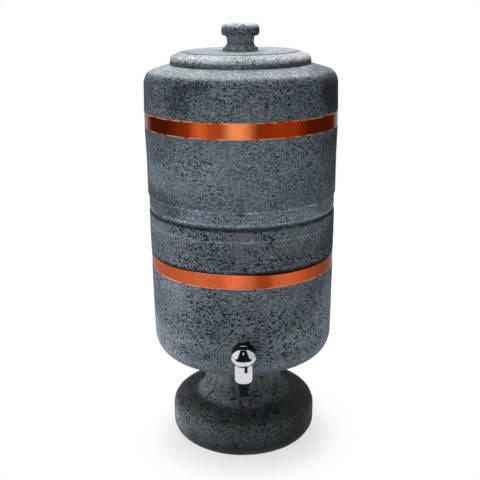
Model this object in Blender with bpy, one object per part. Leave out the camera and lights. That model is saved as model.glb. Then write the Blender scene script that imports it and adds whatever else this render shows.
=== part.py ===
"""A turned soapstone water filter, built piece by piece as it comes apart on a bench.

Two stacked stone vessels stand on a stone foot under a lid with a knob. Water poured into the
upper vessel seeps through a ceramic candle into the lower one, and runs out of a quarter-turn
tap. A copper strip lies in a shallow groove round each vessel. Lengths are metres, +Z is up,
the tap looks towards -Y, and the origin is the centre of the foot's flat underside.
"""

import math

import bmesh
import bpy
from mathutils import Matrix, Vector

# Clearances and cutters
GAP = 0.0003
RUNNING_GAP = 0.0002
LIFT_CLEARANCE = 0.0009
OVERRUN = 0.003
WELD = 0.000001

# Facets round a full turn
STONE_STEPS = 48
KNOB_STEPS = 24
CANDLE_STEPS = 20
TAP_STEPS = 20
RIVET_STEPS = 8
NUT_SIDES = 6
RING_SECTION_STEPS = 6
BELLY_ARC_STEPS = 6
ROUND_ARC_STEPS = 4
CORNER_ARC_STEPS = 3

# Foot and stem
FOOT_RADIUS = 0.0873
FOOT_HEIGHT = 0.0520
FOOT_ROUND = 0.0175
FLARE_RADIUS = 0.0530
FLARE_HEIGHT = 0.0260
STEM_RADIUS = 0.0455
STEM_HEIGHT = 0.0484
STEM_TOP_RADIUS = 0.0560
STEM_TOP_FLARE_HEIGHT = 0.0150
STEM_TOP_EDGE = 0.0008
SPIGOT_RADIUS = 0.0220
SPIGOT_HEIGHT = 0.0120
SPIGOT_CHAMFER = 0.0015

# Both vessels' width: the upper wall's radius at its band, which the other radii follow
VESSEL_RADIUS = 0.1099

# Lower vessel
LOWER_INSET = 0.0034
LOWER_WALL = 0.0215
LOWER_WALL_SPREAD = 0.0016
LOWER_RIM_INSET = 0.0001
LOWER_HEIGHT = 0.1875
BELLY_HEIGHT = 0.0370
UNDER_ROUND_WIDTH = 0.0210
UNDER_ROUND_HEIGHT = 0.0256
UNDER_ROUND_DEGREES = 73
LOWER_FLOOR = 0.0225
LOWER_FLOOR_ROUND = 0.0120
RIM_LINE_DOWN = 0.0130
RIM_LINE_WIDTH = 0.0018
RIM_LINE_DEPTH = 0.0005
RIM_CHAMFER = 0.0010

# Upper vessel
UPPER_WALL = 0.0259
WAIST_INSET = 0.0024
WALL_LOW_INSET = 0.0010
WALL_MIDDLE_INSET = 0.0009
SHOULDER_INSET = 0.0007
UPPER_HEIGHT = 0.1644
UPPER_CHAMFER_WIDTH = 0.0011
UPPER_CHAMFER_HEIGHT = 0.0050
WAIST_HEIGHT = 0.0178
WAIST_SLOPE_HEIGHT = 0.0031
WALL_MIDDLE_HEIGHT = 0.0600
SHOULDER_ROUND_WIDTH = 0.0105
SHOULDER_ROUND_HEIGHT = 0.0162
SHOULDER_RISE = 0.0060
SHOULDER_ROUND_DEGREES = 78
MOUTH_LIP_WIDTH = 0.0120
MOUTH_DEPTH = 0.0210
MOUTH_ROUND_HEIGHT = 0.0120
UPPER_FLOOR = 0.0240
UPPER_FLOOR_ROUND = 0.0120
LOCATING_HEIGHT = 0.0080
LOCATING_CHAMFER = 0.0015

# Lid and its knob
LID_OVERLAP = 0.0070
LID_EDGE_HEIGHT = 0.0046
LID_EDGE_ROUND = 0.0008
LID_SLOPE_WIDTH = 0.0145
LID_SLOPE_HEIGHT = 0.0082
LID_DISC_STEP = 0.0009
LID_PLUG_DEPTH = 0.0060
LID_SEAT_MARGIN = 0.0012
KNOB_FOOT_RADIUS = 0.0198
KNOB_FOOT_HEIGHT = 0.0034
KNOB_NECK_RADIUS = 0.0148
KNOB_NECK_HEIGHT = 0.0108
KNOB_CAP_LOW = 0.0168
KNOB_CAP_RADIUS = 0.0213
KNOB_CAP_LIP = 0.0012
KNOB_CAP_SIDE = 0.0034
KNOB_HEIGHT = 0.0295
KNOB_TOP_RADIUS = 0.0105
TENON_RADIUS = 0.0070
TENON_LENGTH = 0.0090

# Copper bands and their rivets
BAND_WIDTH = 0.0180
BAND_THICKNESS = 0.0008
BAND_SINK = 0.0002
BAND_LAP_STEPS = 2
LOWER_BAND_HEIGHT = 0.1298
UPPER_BAND_HEIGHT = 0.1052
RIVET_RADIUS = 0.0013
RIVET_HEAD_RADIUS = 0.0028
RIVET_HEAD_HEIGHT = 0.0011
RIVET_SPACING = 0.0090

# Tap, with its heights above and below the shank's axis
TAP_HEIGHT = 0.1460
TAP_REACH = 0.0344
SHANK_RADIUS = 0.0060
SHANK_BEYOND_NUT = 0.0030
WATERWAY_RADIUS = 0.0024
NECK_RADIUS = 0.0048
FLANGE_RADIUS = 0.0105
FLANGE_THICKNESS = 0.0035
BARREL_RADIUS = 0.0076
BARREL_BORE_RADIUS = 0.0055
BARREL_ABOVE_SHANK = 0.0048
BORE_BELOW_SHANK = 0.0070
SPOUT_RADIUS = 0.0066
SPOUT_BORE_RADIUS = 0.0043
SPOUT_BELOW_SHANK = 0.0310
SPOUT_EDGE = 0.0005
SLEEVE_RADIUS = 0.00945
SLEEVE_BELOW_SHANK = 0.0154
SLEEVE_ROUND = 0.0026
SLEEVE_UNDER_DEGREES = -75
NOTCH_WIDTH = 0.0033
NOTCH_DEPTH = 0.0066
NOTCH_DEGREES = -74
KEY_SINK = 0.0005

# Tap's washers, nut and sealing rings
WASHER_RADIUS = 0.0134
WASHER_THICKNESS = 0.0030
INNER_WASHER_RADIUS = 0.0112
INNER_WASHER_THICKNESS = 0.0025
NUT_ACROSS_CORNERS = 0.0230
NUT_THICKNESS = 0.0070
HOLE_CLEARANCE = 0.0005
SPOTFACE_MARGIN = 0.0010
SPOTFACE_SKIM = 0.0002
SEAL_SECTION = 0.0006
SEAL_ABOVE_SHANK = 0.0034
SEAL_BELOW_SHANK = 0.0048

# Tap's valve spindle and knob
PORT_RADIUS = 0.0021
DRIVE_WIDTH = 0.0056
DRIVE_HEIGHT = 0.0070
TAP_KNOB_RIM_RADIUS = 0.0093
TAP_KNOB_RADIUS = 0.0135
TAP_KNOB_FLARE_HEIGHT = 0.0068
TAP_KNOB_BAND_HEIGHT = 0.0030
TAP_KNOB_HEIGHT = 0.0194

# Filter candle, with heights above the upper vessel's floor
CANDLE_RADIUS = 0.0247
CANDLE_WALL = 0.0065
CANDLE_HEIGHT = 0.0860
CORE_HEIGHT = 0.0520
CUP_WALL = 0.0020
CUP_HEIGHT = 0.0120
CUP_FLOOR = 0.0030
CANDLE_STEM_RADIUS = 0.0050
CANDLE_STEM_BORE_RADIUS = 0.0020
CANDLE_STEM_BEYOND_NUT = 0.0040
CANDLE_WASHER_RADIUS = 0.0130
CANDLE_WASHER_THICKNESS = 0.0025
WING_NUT_RADIUS = 0.0085
WING_NUT_HEIGHT = 0.0080
WING_SPAN = 0.0320
WING_WIDTH = 0.0042
WING_ROUND = 0.0012

# Outline shapes, as shares of the sizes that they follow
KNOB_TOP_SHARES = ((1.0, 0.0), (0.96, 0.45), (0.84, 0.78), (0.61, 0.96))
TAP_FLARE_SHARES = ((0.0, 0.0), (0.55, 0.40), (0.90, 0.78), (1.0, 1.0))
TAP_DOME_SHARES = ((1.0, 0.0), (0.93, 0.20), (0.74, 0.52), (0.48, 0.80), (0.22, 0.96), (0.0, 1.0))
DOME_DEGREES = 90
RIVET_CROWN_SHARE = 0.6

# Radii that follow the vessels' width
LOWER_RADIUS = VESSEL_RADIUS - LOWER_INSET
LOWER_WALL_TOP_RADIUS = LOWER_RADIUS + LOWER_WALL_SPREAD
LOWER_RIM_RADIUS = LOWER_WALL_TOP_RADIUS - LOWER_RIM_INSET
LOWER_BORE_RADIUS = LOWER_RADIUS - LOWER_WALL
WAIST_RADIUS = VESSEL_RADIUS - WAIST_INSET
SHOULDER_RADIUS = VESSEL_RADIUS - SHOULDER_INSET
UPPER_BORE_RADIUS = VESSEL_RADIUS - UPPER_WALL
MOUTH_RADIUS = UPPER_BORE_RADIUS - MOUTH_LIP_WIDTH
LID_RADIUS = MOUTH_RADIUS + LID_OVERLAP
LID_DISC_RADIUS = LID_RADIUS - LID_SLOPE_WIDTH

# Heights that stack up from the floor
SEAT_HEIGHT = FOOT_HEIGHT + STEM_HEIGHT
LOWER_BASE = SEAT_HEIGHT + GAP
LOWER_TOP = LOWER_BASE + LOWER_HEIGHT
UPPER_BASE = LOWER_TOP + GAP
UPPER_TOP = UPPER_BASE + UPPER_HEIGHT
LID_BASE = UPPER_TOP + GAP
LID_TOP_HEIGHT = LID_EDGE_HEIGHT + LID_SLOPE_HEIGHT + LID_DISC_STEP

# Grooves that hold the bands
GROOVE_DEPTH = GAP + BAND_THICKNESS + BAND_SINK
GROOVE_WIDTH = BAND_WIDTH + 2 * GAP


def clear_scene():
    for thing in list(bpy.data.objects):
        bpy.data.objects.remove(thing)


def finish(name, colour, roughness, metallic=0.0):
    made = bpy.data.materials.new(name)
    made.use_nodes = True
    shader = made.node_tree.nodes["Principled BSDF"]
    shader.inputs["Base Color"].default_value = (*colour, 1.0)
    shader.inputs["Roughness"].default_value = roughness
    shader.inputs["Metallic"].default_value = metallic
    return made


def make_object(name, bm, material=None, parent=None, location=(0, 0, 0)):
    """A smooth-shaded object from a bmesh, sharp where its faces turn by 30 degrees or more."""
    mesh = bpy.data.meshes.new(name)
    bm.to_mesh(mesh)
    bm.free()
    mesh.shade_smooth()
    mesh.set_sharp_from_angle(angle=math.radians(30))
    made = bpy.data.objects.new(name, mesh)
    bpy.context.scene.collection.objects.link(made)
    made.parent = parent
    made.location = location
    if material:
        mesh.materials.append(material)
    return made


def make_axis(name, location, parent=None):
    made = bpy.data.objects.new(name, None)
    bpy.context.scene.collection.objects.link(made)
    made.parent = parent
    made.location = location
    return made


def arc(centre, size, start, end, points):
    """(radius, height) points on an ellipse's arc. centre and size are (radius, height)."""
    found = []
    for step in range(points + 1):
        angle = math.radians(start + (end - start) * step / points)
        found.append(
            (centre[0] + size[0] * math.cos(angle), centre[1] + size[1] * math.sin(angle))
        )
    return found


def turn(outline, steps, offset=0):
    """A bmesh of the solid that a closed (radius, height) outline sweeps round the Z axis.

    offset turns the facets by that many facets, to keep a cutter's corners off a wall's.
    """
    bm = bmesh.new()
    points = [bm.verts.new((radius, 0, height)) for radius, height in outline]
    edges = []
    for first, second in zip(points, points[1:] + points[:1]):
        if first.co.x > WELD or second.co.x > WELD:
            edges.append(bm.edges.new((first, second)))
    bmesh.ops.spin(
        bm,
        geom=points + edges,
        cent=(0, 0, 0),
        axis=(0, 0, 1),
        angle=math.tau,
        steps=steps,
        use_merge=True,
    )
    bmesh.ops.remove_doubles(bm, verts=bm.verts, dist=WELD)
    bmesh.ops.dissolve_degenerate(bm, edges=bm.edges, dist=WELD)
    bmesh.ops.recalc_face_normals(bm, faces=bm.faces)
    spread = Matrix.Rotation(math.tau * offset / steps, 3, "Z")
    bmesh.ops.rotate(bm, verts=bm.verts, cent=(0, 0, 0), matrix=spread)
    return bm


def towards_y(bm):
    """Lays a turned shape along Y, its height running towards -Y."""
    bmesh.ops.rotate(bm, verts=bm.verts, cent=(0, 0, 0), matrix=Matrix.Rotation(math.pi / 2, 3, "X"))
    return bm


def block(low, high):
    bm = bmesh.new()
    bmesh.ops.create_cube(bm, size=1)
    middle = (Vector(low) + Vector(high)) / 2
    spread = Vector(high) - Vector(low)
    bmesh.ops.scale(bm, vec=spread, verts=bm.verts)
    bmesh.ops.translate(bm, vec=middle, verts=bm.verts)
    return bm


def helper(name, bm, parent, location=(0, 0, 0)):
    """A hidden solid that a Boolean cuts with or adds."""
    made = make_object(name, bm, None, parent, location)
    made.hide_render = True
    made.display_type = "WIRE"
    return made


def boolean(target, tool, operation="DIFFERENCE"):
    modifier = target.modifiers.new(tool.name, "BOOLEAN")
    modifier.operation = operation
    modifier.solver = "EXACT"
    modifier.object = tool


def ring(inner, outer, low, high):
    return [(inner, low), (outer, low), (outer, high), (inner, high)]


def rod(radius, low, high):
    return [(0, low), (radius, low), (radius, high), (0, high)]


def flat_inside(radius, steps):
    """How far the flats of a faceted bore lie from its axis."""
    return radius * math.cos(math.pi / steps)


# Stone pieces

def pedestal_outline():
    """A disc with rounded edges, and a stem that sweeps out to meet the belly of the vessel."""
    edge = (FOOT_ROUND, FOOT_ROUND)
    flare = (FLARE_RADIUS - STEM_RADIUS, FLARE_HEIGHT)
    top_flare = (STEM_TOP_RADIUS - STEM_RADIUS, STEM_TOP_FLARE_HEIGHT)
    foot_top = FOOT_HEIGHT - FOOT_ROUND
    top_flare_low = SEAT_HEIGHT - STEM_TOP_EDGE - STEM_TOP_FLARE_HEIGHT
    spigot_top = SEAT_HEIGHT + SPIGOT_HEIGHT
    return [
        (0, 0),
        *arc((FOOT_RADIUS - FOOT_ROUND, FOOT_ROUND), edge, -90, 0, ROUND_ARC_STEPS),
        *arc((FOOT_RADIUS - FOOT_ROUND, foot_top), edge, 0, 90, ROUND_ARC_STEPS),
        *arc((FLARE_RADIUS, FOOT_HEIGHT + FLARE_HEIGHT), flare, 270, 180, ROUND_ARC_STEPS),
        *arc((STEM_TOP_RADIUS, top_flare_low), top_flare, 180, 90, ROUND_ARC_STEPS),
        (STEM_TOP_RADIUS, SEAT_HEIGHT),
        (SPIGOT_RADIUS, SEAT_HEIGHT),
        (SPIGOT_RADIUS, spigot_top - SPIGOT_CHAMFER),
        (SPIGOT_RADIUS - SPIGOT_CHAMFER, spigot_top),
        (0, spigot_top),
    ]


def groove(radius, middle):
    """The four corners of a band's groove, from its lower edge up."""
    low = middle - GROOVE_WIDTH / 2
    high = middle + GROOVE_WIDTH / 2
    floor = radius - GROOVE_DEPTH
    return [(radius, low), (floor, low), (floor, high), (radius, high)]


def lower_outline():
    """From the socket in the underside, out round the belly and over the rim to the floor."""
    socket_radius = SPIGOT_RADIUS + GAP
    socket_top = SPIGOT_HEIGHT + GAP
    under_centre = (LOWER_RADIUS - UNDER_ROUND_WIDTH, BELLY_HEIGHT)
    under_round = (UNDER_ROUND_WIDTH, UNDER_ROUND_HEIGHT)
    rim_line = LOWER_HEIGHT - RIM_LINE_DOWN
    floor_round = (LOWER_BORE_RADIUS - LOWER_FLOOR_ROUND, LOWER_FLOOR + LOWER_FLOOR_ROUND)
    corner = (LOWER_FLOOR_ROUND, LOWER_FLOOR_ROUND)
    return [
        (0, socket_top),
        (socket_radius, socket_top),
        (socket_radius, 0),
        (STEM_TOP_RADIUS, 0),
        *arc(under_centre, under_round, -UNDER_ROUND_DEGREES, 0, BELLY_ARC_STEPS),
        *groove(lower_wall_radius(LOWER_BAND_HEIGHT), LOWER_BAND_HEIGHT),
        (LOWER_WALL_TOP_RADIUS, rim_line - RIM_LINE_WIDTH / 2),
        (LOWER_WALL_TOP_RADIUS - RIM_LINE_DEPTH, rim_line),
        (LOWER_RIM_RADIUS, rim_line + RIM_LINE_WIDTH / 2),
        (LOWER_RIM_RADIUS, LOWER_HEIGHT - RIM_CHAMFER),
        (LOWER_RIM_RADIUS - RIM_CHAMFER, LOWER_HEIGHT),
        (LOWER_BORE_RADIUS + RIM_CHAMFER, LOWER_HEIGHT),
        (LOWER_BORE_RADIUS, LOWER_HEIGHT - RIM_CHAMFER),
        *arc(floor_round, corner, 0, -90, CORNER_ARC_STEPS),
        (0, LOWER_FLOOR),
    ]


def lower_wall_radius(height):
    """The lower wall's radius, which widens evenly from the belly to below the rim's line."""
    top = LOWER_HEIGHT - RIM_LINE_DOWN - RIM_LINE_WIDTH / 2
    up = (height - BELLY_HEIGHT) / (top - BELLY_HEIGHT)
    return LOWER_RADIUS + (LOWER_WALL_TOP_RADIUS - LOWER_RADIUS) * up


def upper_outline():
    """From the locating face's candle hole, out up the wall and down into the mouth."""
    hole_radius = CANDLE_STEM_RADIUS + HOLE_CLEARANCE
    locating_radius = LOWER_BORE_RADIUS - LIFT_CLEARANCE
    waist_top = WAIST_HEIGHT + WAIST_SLOPE_HEIGHT
    round_low = UPPER_HEIGHT - SHOULDER_RISE - SHOULDER_ROUND_HEIGHT
    mouth_low = UPPER_HEIGHT - MOUTH_DEPTH
    floor_top = UPPER_FLOOR - LOCATING_HEIGHT
    floor_round = (UPPER_BORE_RADIUS - UPPER_FLOOR_ROUND, floor_top + UPPER_FLOOR_ROUND)
    corner = (UPPER_FLOOR_ROUND, UPPER_FLOOR_ROUND)
    mouth_round = (MOUTH_LIP_WIDTH, MOUTH_ROUND_HEIGHT)
    mouth_centre = (MOUTH_RADIUS, mouth_low - MOUTH_ROUND_HEIGHT)
    shoulder_round = (SHOULDER_ROUND_WIDTH, SHOULDER_ROUND_HEIGHT)
    shoulder_centre = (SHOULDER_RADIUS - SHOULDER_ROUND_WIDTH, round_low)
    return [
        (hole_radius, -LOCATING_HEIGHT),
        (locating_radius - LOCATING_CHAMFER, -LOCATING_HEIGHT),
        (locating_radius, LOCATING_CHAMFER - LOCATING_HEIGHT),
        (locating_radius, 0),
        (WAIST_RADIUS - UPPER_CHAMFER_WIDTH, 0),
        (WAIST_RADIUS, UPPER_CHAMFER_HEIGHT),
        (WAIST_RADIUS, WAIST_HEIGHT),
        (VESSEL_RADIUS - WALL_LOW_INSET, waist_top),
        (VESSEL_RADIUS - WALL_MIDDLE_INSET, WALL_MIDDLE_HEIGHT),
        *groove(VESSEL_RADIUS, UPPER_BAND_HEIGHT),
        *arc(shoulder_centre, shoulder_round, 0, SHOULDER_ROUND_DEGREES, ROUND_ARC_STEPS),
        (LID_RADIUS + LID_SEAT_MARGIN, UPPER_HEIGHT),
        (MOUTH_RADIUS, UPPER_HEIGHT),
        *arc(mouth_centre, mouth_round, 90, 0, CORNER_ARC_STEPS),
        *arc(floor_round, corner, 0, -90, CORNER_ARC_STEPS),
        (hole_radius, floor_top),
    ]


def lid_outline():
    plug_radius = MOUTH_RADIUS - LIFT_CLEARANCE
    slope = (LID_SLOPE_WIDTH, LID_SLOPE_HEIGHT)
    socket_radius = TENON_RADIUS + GAP
    socket_floor = LID_TOP_HEIGHT - TENON_LENGTH - GAP
    return [
        (0, -LID_PLUG_DEPTH),
        (plug_radius, -LID_PLUG_DEPTH),
        (plug_radius, 0),
        (LID_RADIUS - LID_EDGE_ROUND, 0),
        (LID_RADIUS, LID_EDGE_ROUND),
        *arc((LID_DISC_RADIUS, LID_EDGE_HEIGHT), slope, 0, 90, ROUND_ARC_STEPS),
        (LID_DISC_RADIUS - LID_DISC_STEP, LID_TOP_HEIGHT),
        (socket_radius, LID_TOP_HEIGHT),
        (socket_radius, socket_floor),
        (0, socket_floor),
    ]


def lid_knob_outline():
    """A mushroom: a tenon, a foot that sweeps in to the neck, and a thick rounded cap."""
    cap_top = KNOB_CAP_LOW + KNOB_CAP_SIDE
    crown = KNOB_HEIGHT - cap_top
    sweep = (KNOB_FOOT_RADIUS - KNOB_NECK_RADIUS, KNOB_NECK_HEIGHT - KNOB_FOOT_HEIGHT)
    return [
        (0, -TENON_LENGTH),
        (TENON_RADIUS, -TENON_LENGTH),
        (TENON_RADIUS, GAP),
        (KNOB_FOOT_RADIUS, GAP),
        *arc((KNOB_FOOT_RADIUS, KNOB_NECK_HEIGHT), sweep, 270, 180, CORNER_ARC_STEPS),
        (KNOB_NECK_RADIUS + KNOB_CAP_LIP, KNOB_CAP_LOW - KNOB_CAP_LIP),
        (KNOB_CAP_RADIUS - KNOB_CAP_LIP, KNOB_CAP_LOW),
        *[
            (
                KNOB_TOP_RADIUS + (KNOB_CAP_RADIUS - KNOB_TOP_RADIUS) * across,
                cap_top + crown * up,
            )
            for across, up in KNOB_TOP_SHARES
        ],
        (KNOB_TOP_RADIUS, KNOB_HEIGHT),
        (0, KNOB_HEIGHT),
    ]


# Copper strips

def strip_radius(inner, step, last):
    """The strip's inner radius at a step round it: the outer end rides over the inner one."""
    over = BAND_THICKNESS + GAP
    return inner + (over if step >= last - BAND_LAP_STEPS else 0)


def copper_strip(inner):
    """One strip wound a full turn and lapped over its own start at the back."""
    last = STONE_STEPS + BAND_LAP_STEPS
    first = STONE_STEPS // 4 - BAND_LAP_STEPS // 2
    bm = bmesh.new()
    before = None
    for step in range(last + 1):
        angle = math.tau * (first + step) / STONE_STEPS
        radius = strip_radius(inner, step + 1, last)
        section = []
        for across, up in ((0, -1), (1, -1), (1, 1), (0, 1)):
            reach = radius + BAND_THICKNESS * across
            height = BAND_WIDTH / 2 * up
            place = (reach * math.cos(angle), reach * math.sin(angle), height)
            section.append(bm.verts.new(place))
        edges = [bm.edges.new((section[side], section[side - 1])) for side in range(4)]
        if before:
            bmesh.ops.bridge_loops(bm, edges=before + edges)
        else:
            bm.faces.new(section)
        before = edges
    bm.faces.new(section)
    bmesh.ops.recalc_face_normals(bm, faces=bm.faces)
    return bm


def rivet_outline(reach):
    """A domed head on a shank, whose end is peened flush behind the strip's inner layer."""
    crown = RIVET_HEAD_RADIUS * RIVET_CROWN_SHARE
    head = reach + GAP
    return [
        (0, reach - 2 * BAND_THICKNESS - GAP),
        (RIVET_RADIUS, reach - 2 * BAND_THICKNESS - GAP),
        (RIVET_RADIUS, head),
        (RIVET_HEAD_RADIUS, head),
        (crown, head + RIVET_HEAD_HEIGHT),
        (0, head + RIVET_HEAD_HEIGHT),
    ]


def band_with_rivets(prefix, wall_radius, height, parent, copper, rivet_copper):
    inner = wall_radius - GROOVE_DEPTH + GAP
    band = make_object(prefix + "_copper_band", copper_strip(inner), copper, parent, (0, 0, height))
    outer_face = flat_inside(inner + 2 * BAND_THICKNESS + GAP, STONE_STEPS)
    for side, name in ((-1, "left"), (1, "right")):
        place = (side * RIVET_SPACING / 2, 0, height)
        bm = turn(rivet_outline(outer_face), RIVET_STEPS)
        bmesh.ops.rotate(
            bm, verts=bm.verts, cent=(0, 0, 0), matrix=Matrix.Rotation(-math.pi / 2, 3, "X")
        )
        make_object(f"{prefix}_band_{name}_rivet", bm, rivet_copper, parent, place)
        hole = turn(rod(RIVET_RADIUS + GAP, inner - OVERRUN, outer_face + OVERRUN), RIVET_STEPS)
        bmesh.ops.rotate(
            hole, verts=hole.verts, cent=(0, 0, 0), matrix=Matrix.Rotation(-math.pi / 2, 3, "X")
        )
        boolean(band, helper(f"{prefix}_band_{name}_hole", hole, parent, place))


# Filter candle

def candle_levels():
    """Heights above the upper vessel's floor, and below it, of what the stem clamps."""
    washer_top = GAP + CANDLE_WASHER_THICKNESS
    cup_base = washer_top + GAP
    cup_floor = cup_base + CUP_FLOOR
    below = -UPPER_FLOOR - GAP
    nut_top = below - CANDLE_WASHER_THICKNESS - GAP
    stem_end = nut_top - WING_NUT_HEIGHT - CANDLE_STEM_BEYOND_NUT
    return washer_top, cup_base, cup_floor, below, nut_top, stem_end


def candle_shell_outline():
    inner = CANDLE_RADIUS - CANDLE_WALL
    low = candle_levels()[2] + GAP
    dome = low + CANDLE_HEIGHT - CANDLE_RADIUS
    return [
        (inner, low),
        (CANDLE_RADIUS, low),
        *arc((0, dome), (CANDLE_RADIUS, CANDLE_RADIUS), 0, DOME_DEGREES, 5),
        *arc((0, dome), (inner, inner), DOME_DEGREES, 0, 4),
    ]


def candle_core_outline():
    low = candle_levels()[2] + GAP
    return rod(CANDLE_RADIUS - CANDLE_WALL - GAP, low, low + CORE_HEIGHT)


def candle_cup_outline():
    _, cup_base, cup_floor, _, _, stem_end = candle_levels()
    inner = CANDLE_RADIUS + GAP
    return [
        (CANDLE_STEM_BORE_RADIUS, stem_end),
        (CANDLE_STEM_RADIUS, stem_end),
        (CANDLE_STEM_RADIUS, cup_base),
        (inner + CUP_WALL, cup_base),
        (inner + CUP_WALL, cup_base + CUP_HEIGHT),
        (inner, cup_base + CUP_HEIGHT),
        (inner, cup_floor),
        (CANDLE_STEM_BORE_RADIUS, cup_floor),
    ]


def wing_nut(parent, plastic):
    nut_top = candle_levels()[4]
    hub = ring(CANDLE_STEM_RADIUS + GAP, WING_NUT_RADIUS, nut_top - WING_NUT_HEIGHT, nut_top)
    nut = make_object("candle_wing_nut", turn(hub, CANDLE_STEPS), plastic, parent)
    hub_inside = (CANDLE_STEM_RADIUS + GAP + WING_NUT_RADIUS) / 2
    for side, name in ((-1, "left"), (1, "right")):
        ends = sorted((side * hub_inside, side * WING_SPAN / 2))
        bm = block(
            (ends[0], -WING_WIDTH / 2, nut_top - WING_NUT_HEIGHT),
            (ends[1], WING_WIDTH / 2, nut_top - WING_NUT_HEIGHT / 4),
        )
        outer = [edge for edge in bm.edges if all(abs(v.co.x) > hub_inside + WELD for v in edge.verts)]
        bmesh.ops.bevel(
            bm, geom=outer, offset=WING_ROUND, segments=2, profile=0.5, affect="EDGES"
        )
        boolean(nut, helper(f"wing_{name}", bm, parent), "UNION")


def filter_candle(parent, ceramic, carbon, plastic, rubber):
    washer_top, _, _, below, _, _ = candle_levels()
    hole = CANDLE_STEM_RADIUS + GAP
    upper = ring(hole, CANDLE_WASHER_RADIUS, GAP, washer_top)
    lower = ring(hole, CANDLE_WASHER_RADIUS, below - CANDLE_WASHER_THICKNESS, below)
    make_object("candle_shell", turn(candle_shell_outline(), CANDLE_STEPS), ceramic, parent)
    make_object("candle_carbon_core", turn(candle_core_outline(), CANDLE_STEPS), carbon, parent)
    make_object("candle_cup_and_stem", turn(candle_cup_outline(), CANDLE_STEPS), plastic, parent)
    make_object("candle_upper_washer", turn(upper, CANDLE_STEPS), rubber, parent)
    make_object("candle_lower_washer", turn(lower, CANDLE_STEPS), rubber, parent)
    wing_nut(parent, plastic)


# Tap: distances along the shank run out from the vessel's axis, towards -Y

def tap_stations():
    """Where each piece on the shank starts and ends, from the water side outwards."""
    wall = lower_wall_radius(TAP_HEIGHT - LOWER_BASE)
    inner_face = LOWER_BORE_RADIUS + SPOTFACE_SKIM
    inner_washer = inner_face - GAP - INNER_WASHER_THICKNESS
    nut = inner_washer - GAP - NUT_THICKNESS
    cut = WASHER_RADIUS + SPOTFACE_MARGIN
    outer_face = math.sqrt(wall * wall - cut * cut) - SPOTFACE_SKIM
    outer_washer = outer_face + GAP + WASHER_THICKNESS
    flange = outer_washer + GAP + FLANGE_THICKNESS
    return {
        "shank_end": nut - SHANK_BEYOND_NUT,
        "nut": nut,
        "inner_washer": inner_washer,
        "inner_face": inner_face,
        "outer_face": outer_face,
        "outer_washer": outer_washer,
        "flange": flange,
        "barrel": wall + TAP_REACH,
    }


def drill_for_tap(vessel, parent):
    """The tap's hole, opened out to a flat spot for a washer on each side of the wall."""
    at = tap_stations()
    hole = SHANK_RADIUS + HOLE_CLEARANCE
    outer = WASHER_RADIUS + SPOTFACE_MARGIN
    inner = max(INNER_WASHER_RADIUS, NUT_ACROSS_CORNERS / 2) + SPOTFACE_MARGIN
    beyond = at["outer_face"] + 2 * OVERRUN
    outline = [
        (0, at["nut"]),
        (inner, at["nut"]),
        (inner, at["inner_face"]),
        (hole, at["inner_face"]),
        (hole, at["outer_face"]),
        (outer, at["outer_face"]),
        (outer, beyond),
        (0, beyond),
    ]
    cutter = towards_y(turn(outline, TAP_STEPS, 0.5))
    boolean(vessel, helper("tap_hole", cutter, parent, (0, 0, TAP_HEIGHT)))


def tap_body(parent, plastic):
    """A black moulding: shank, flange and neck along Y, and an upright barrel with the spout."""
    at = tap_stations()
    inside_barrel = at["barrel"] - BARREL_BORE_RADIUS
    middle = (inside_barrel + at["barrel"] - BARREL_RADIUS) / 2
    along = [
        (0, at["shank_end"]),
        (SHANK_RADIUS, at["shank_end"]),
        (SHANK_RADIUS, at["outer_washer"] + GAP),
        (FLANGE_RADIUS, at["outer_washer"] + GAP),
        (FLANGE_RADIUS, at["flange"]),
        (NECK_RADIUS - GAP, at["flange"]),
        (NECK_RADIUS - GAP, middle),
        (0, middle),
    ]
    shoulder = SLEEVE_ROUND - SLEEVE_BELOW_SHANK + GAP
    upright = [
        (0, -SPOUT_BELOW_SHANK),
        (SPOUT_RADIUS - SPOUT_EDGE, -SPOUT_BELOW_SHANK),
        (SPOUT_RADIUS, SPOUT_EDGE - SPOUT_BELOW_SHANK),
        (SPOUT_RADIUS, shoulder),
        (BARREL_RADIUS, shoulder + BARREL_RADIUS - SPOUT_RADIUS),
        (BARREL_RADIUS, BARREL_ABOVE_SHANK),
        (0, BARREL_ABOVE_SHANK),
    ]
    body = make_object("tap_body", towards_y(turn(along, TAP_STEPS)), plastic, parent)
    barrel_place = (0, -at["barrel"], 0)
    barrel = helper("barrel_blank", turn(upright, TAP_STEPS), parent, barrel_place)
    boolean(body, barrel, "UNION")
    key = notch_block(BARREL_RADIUS - GAP, True)
    boolean(body, helper("key_blank", key, parent, barrel_place), "UNION")
    bore = [
        (0, -SPOUT_BELOW_SHANK - OVERRUN),
        (SPOUT_BORE_RADIUS, -SPOUT_BELOW_SHANK - OVERRUN),
        (SPOUT_BORE_RADIUS, -BORE_BELOW_SHANK),
        (BARREL_BORE_RADIUS, -BORE_BELOW_SHANK),
        (BARREL_BORE_RADIUS, BARREL_ABOVE_SHANK + OVERRUN),
        (0, BARREL_ABOVE_SHANK + OVERRUN),
    ]
    boolean(body, helper("barrel_bore", turn(bore, TAP_STEPS, 0.5), parent, barrel_place))
    water = rod(WATERWAY_RADIUS, at["shank_end"] - OVERRUN, at["barrel"])
    boolean(body, helper("shank_waterway", towards_y(turn(water, RIVET_STEPS, 0.5)), parent))


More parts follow.
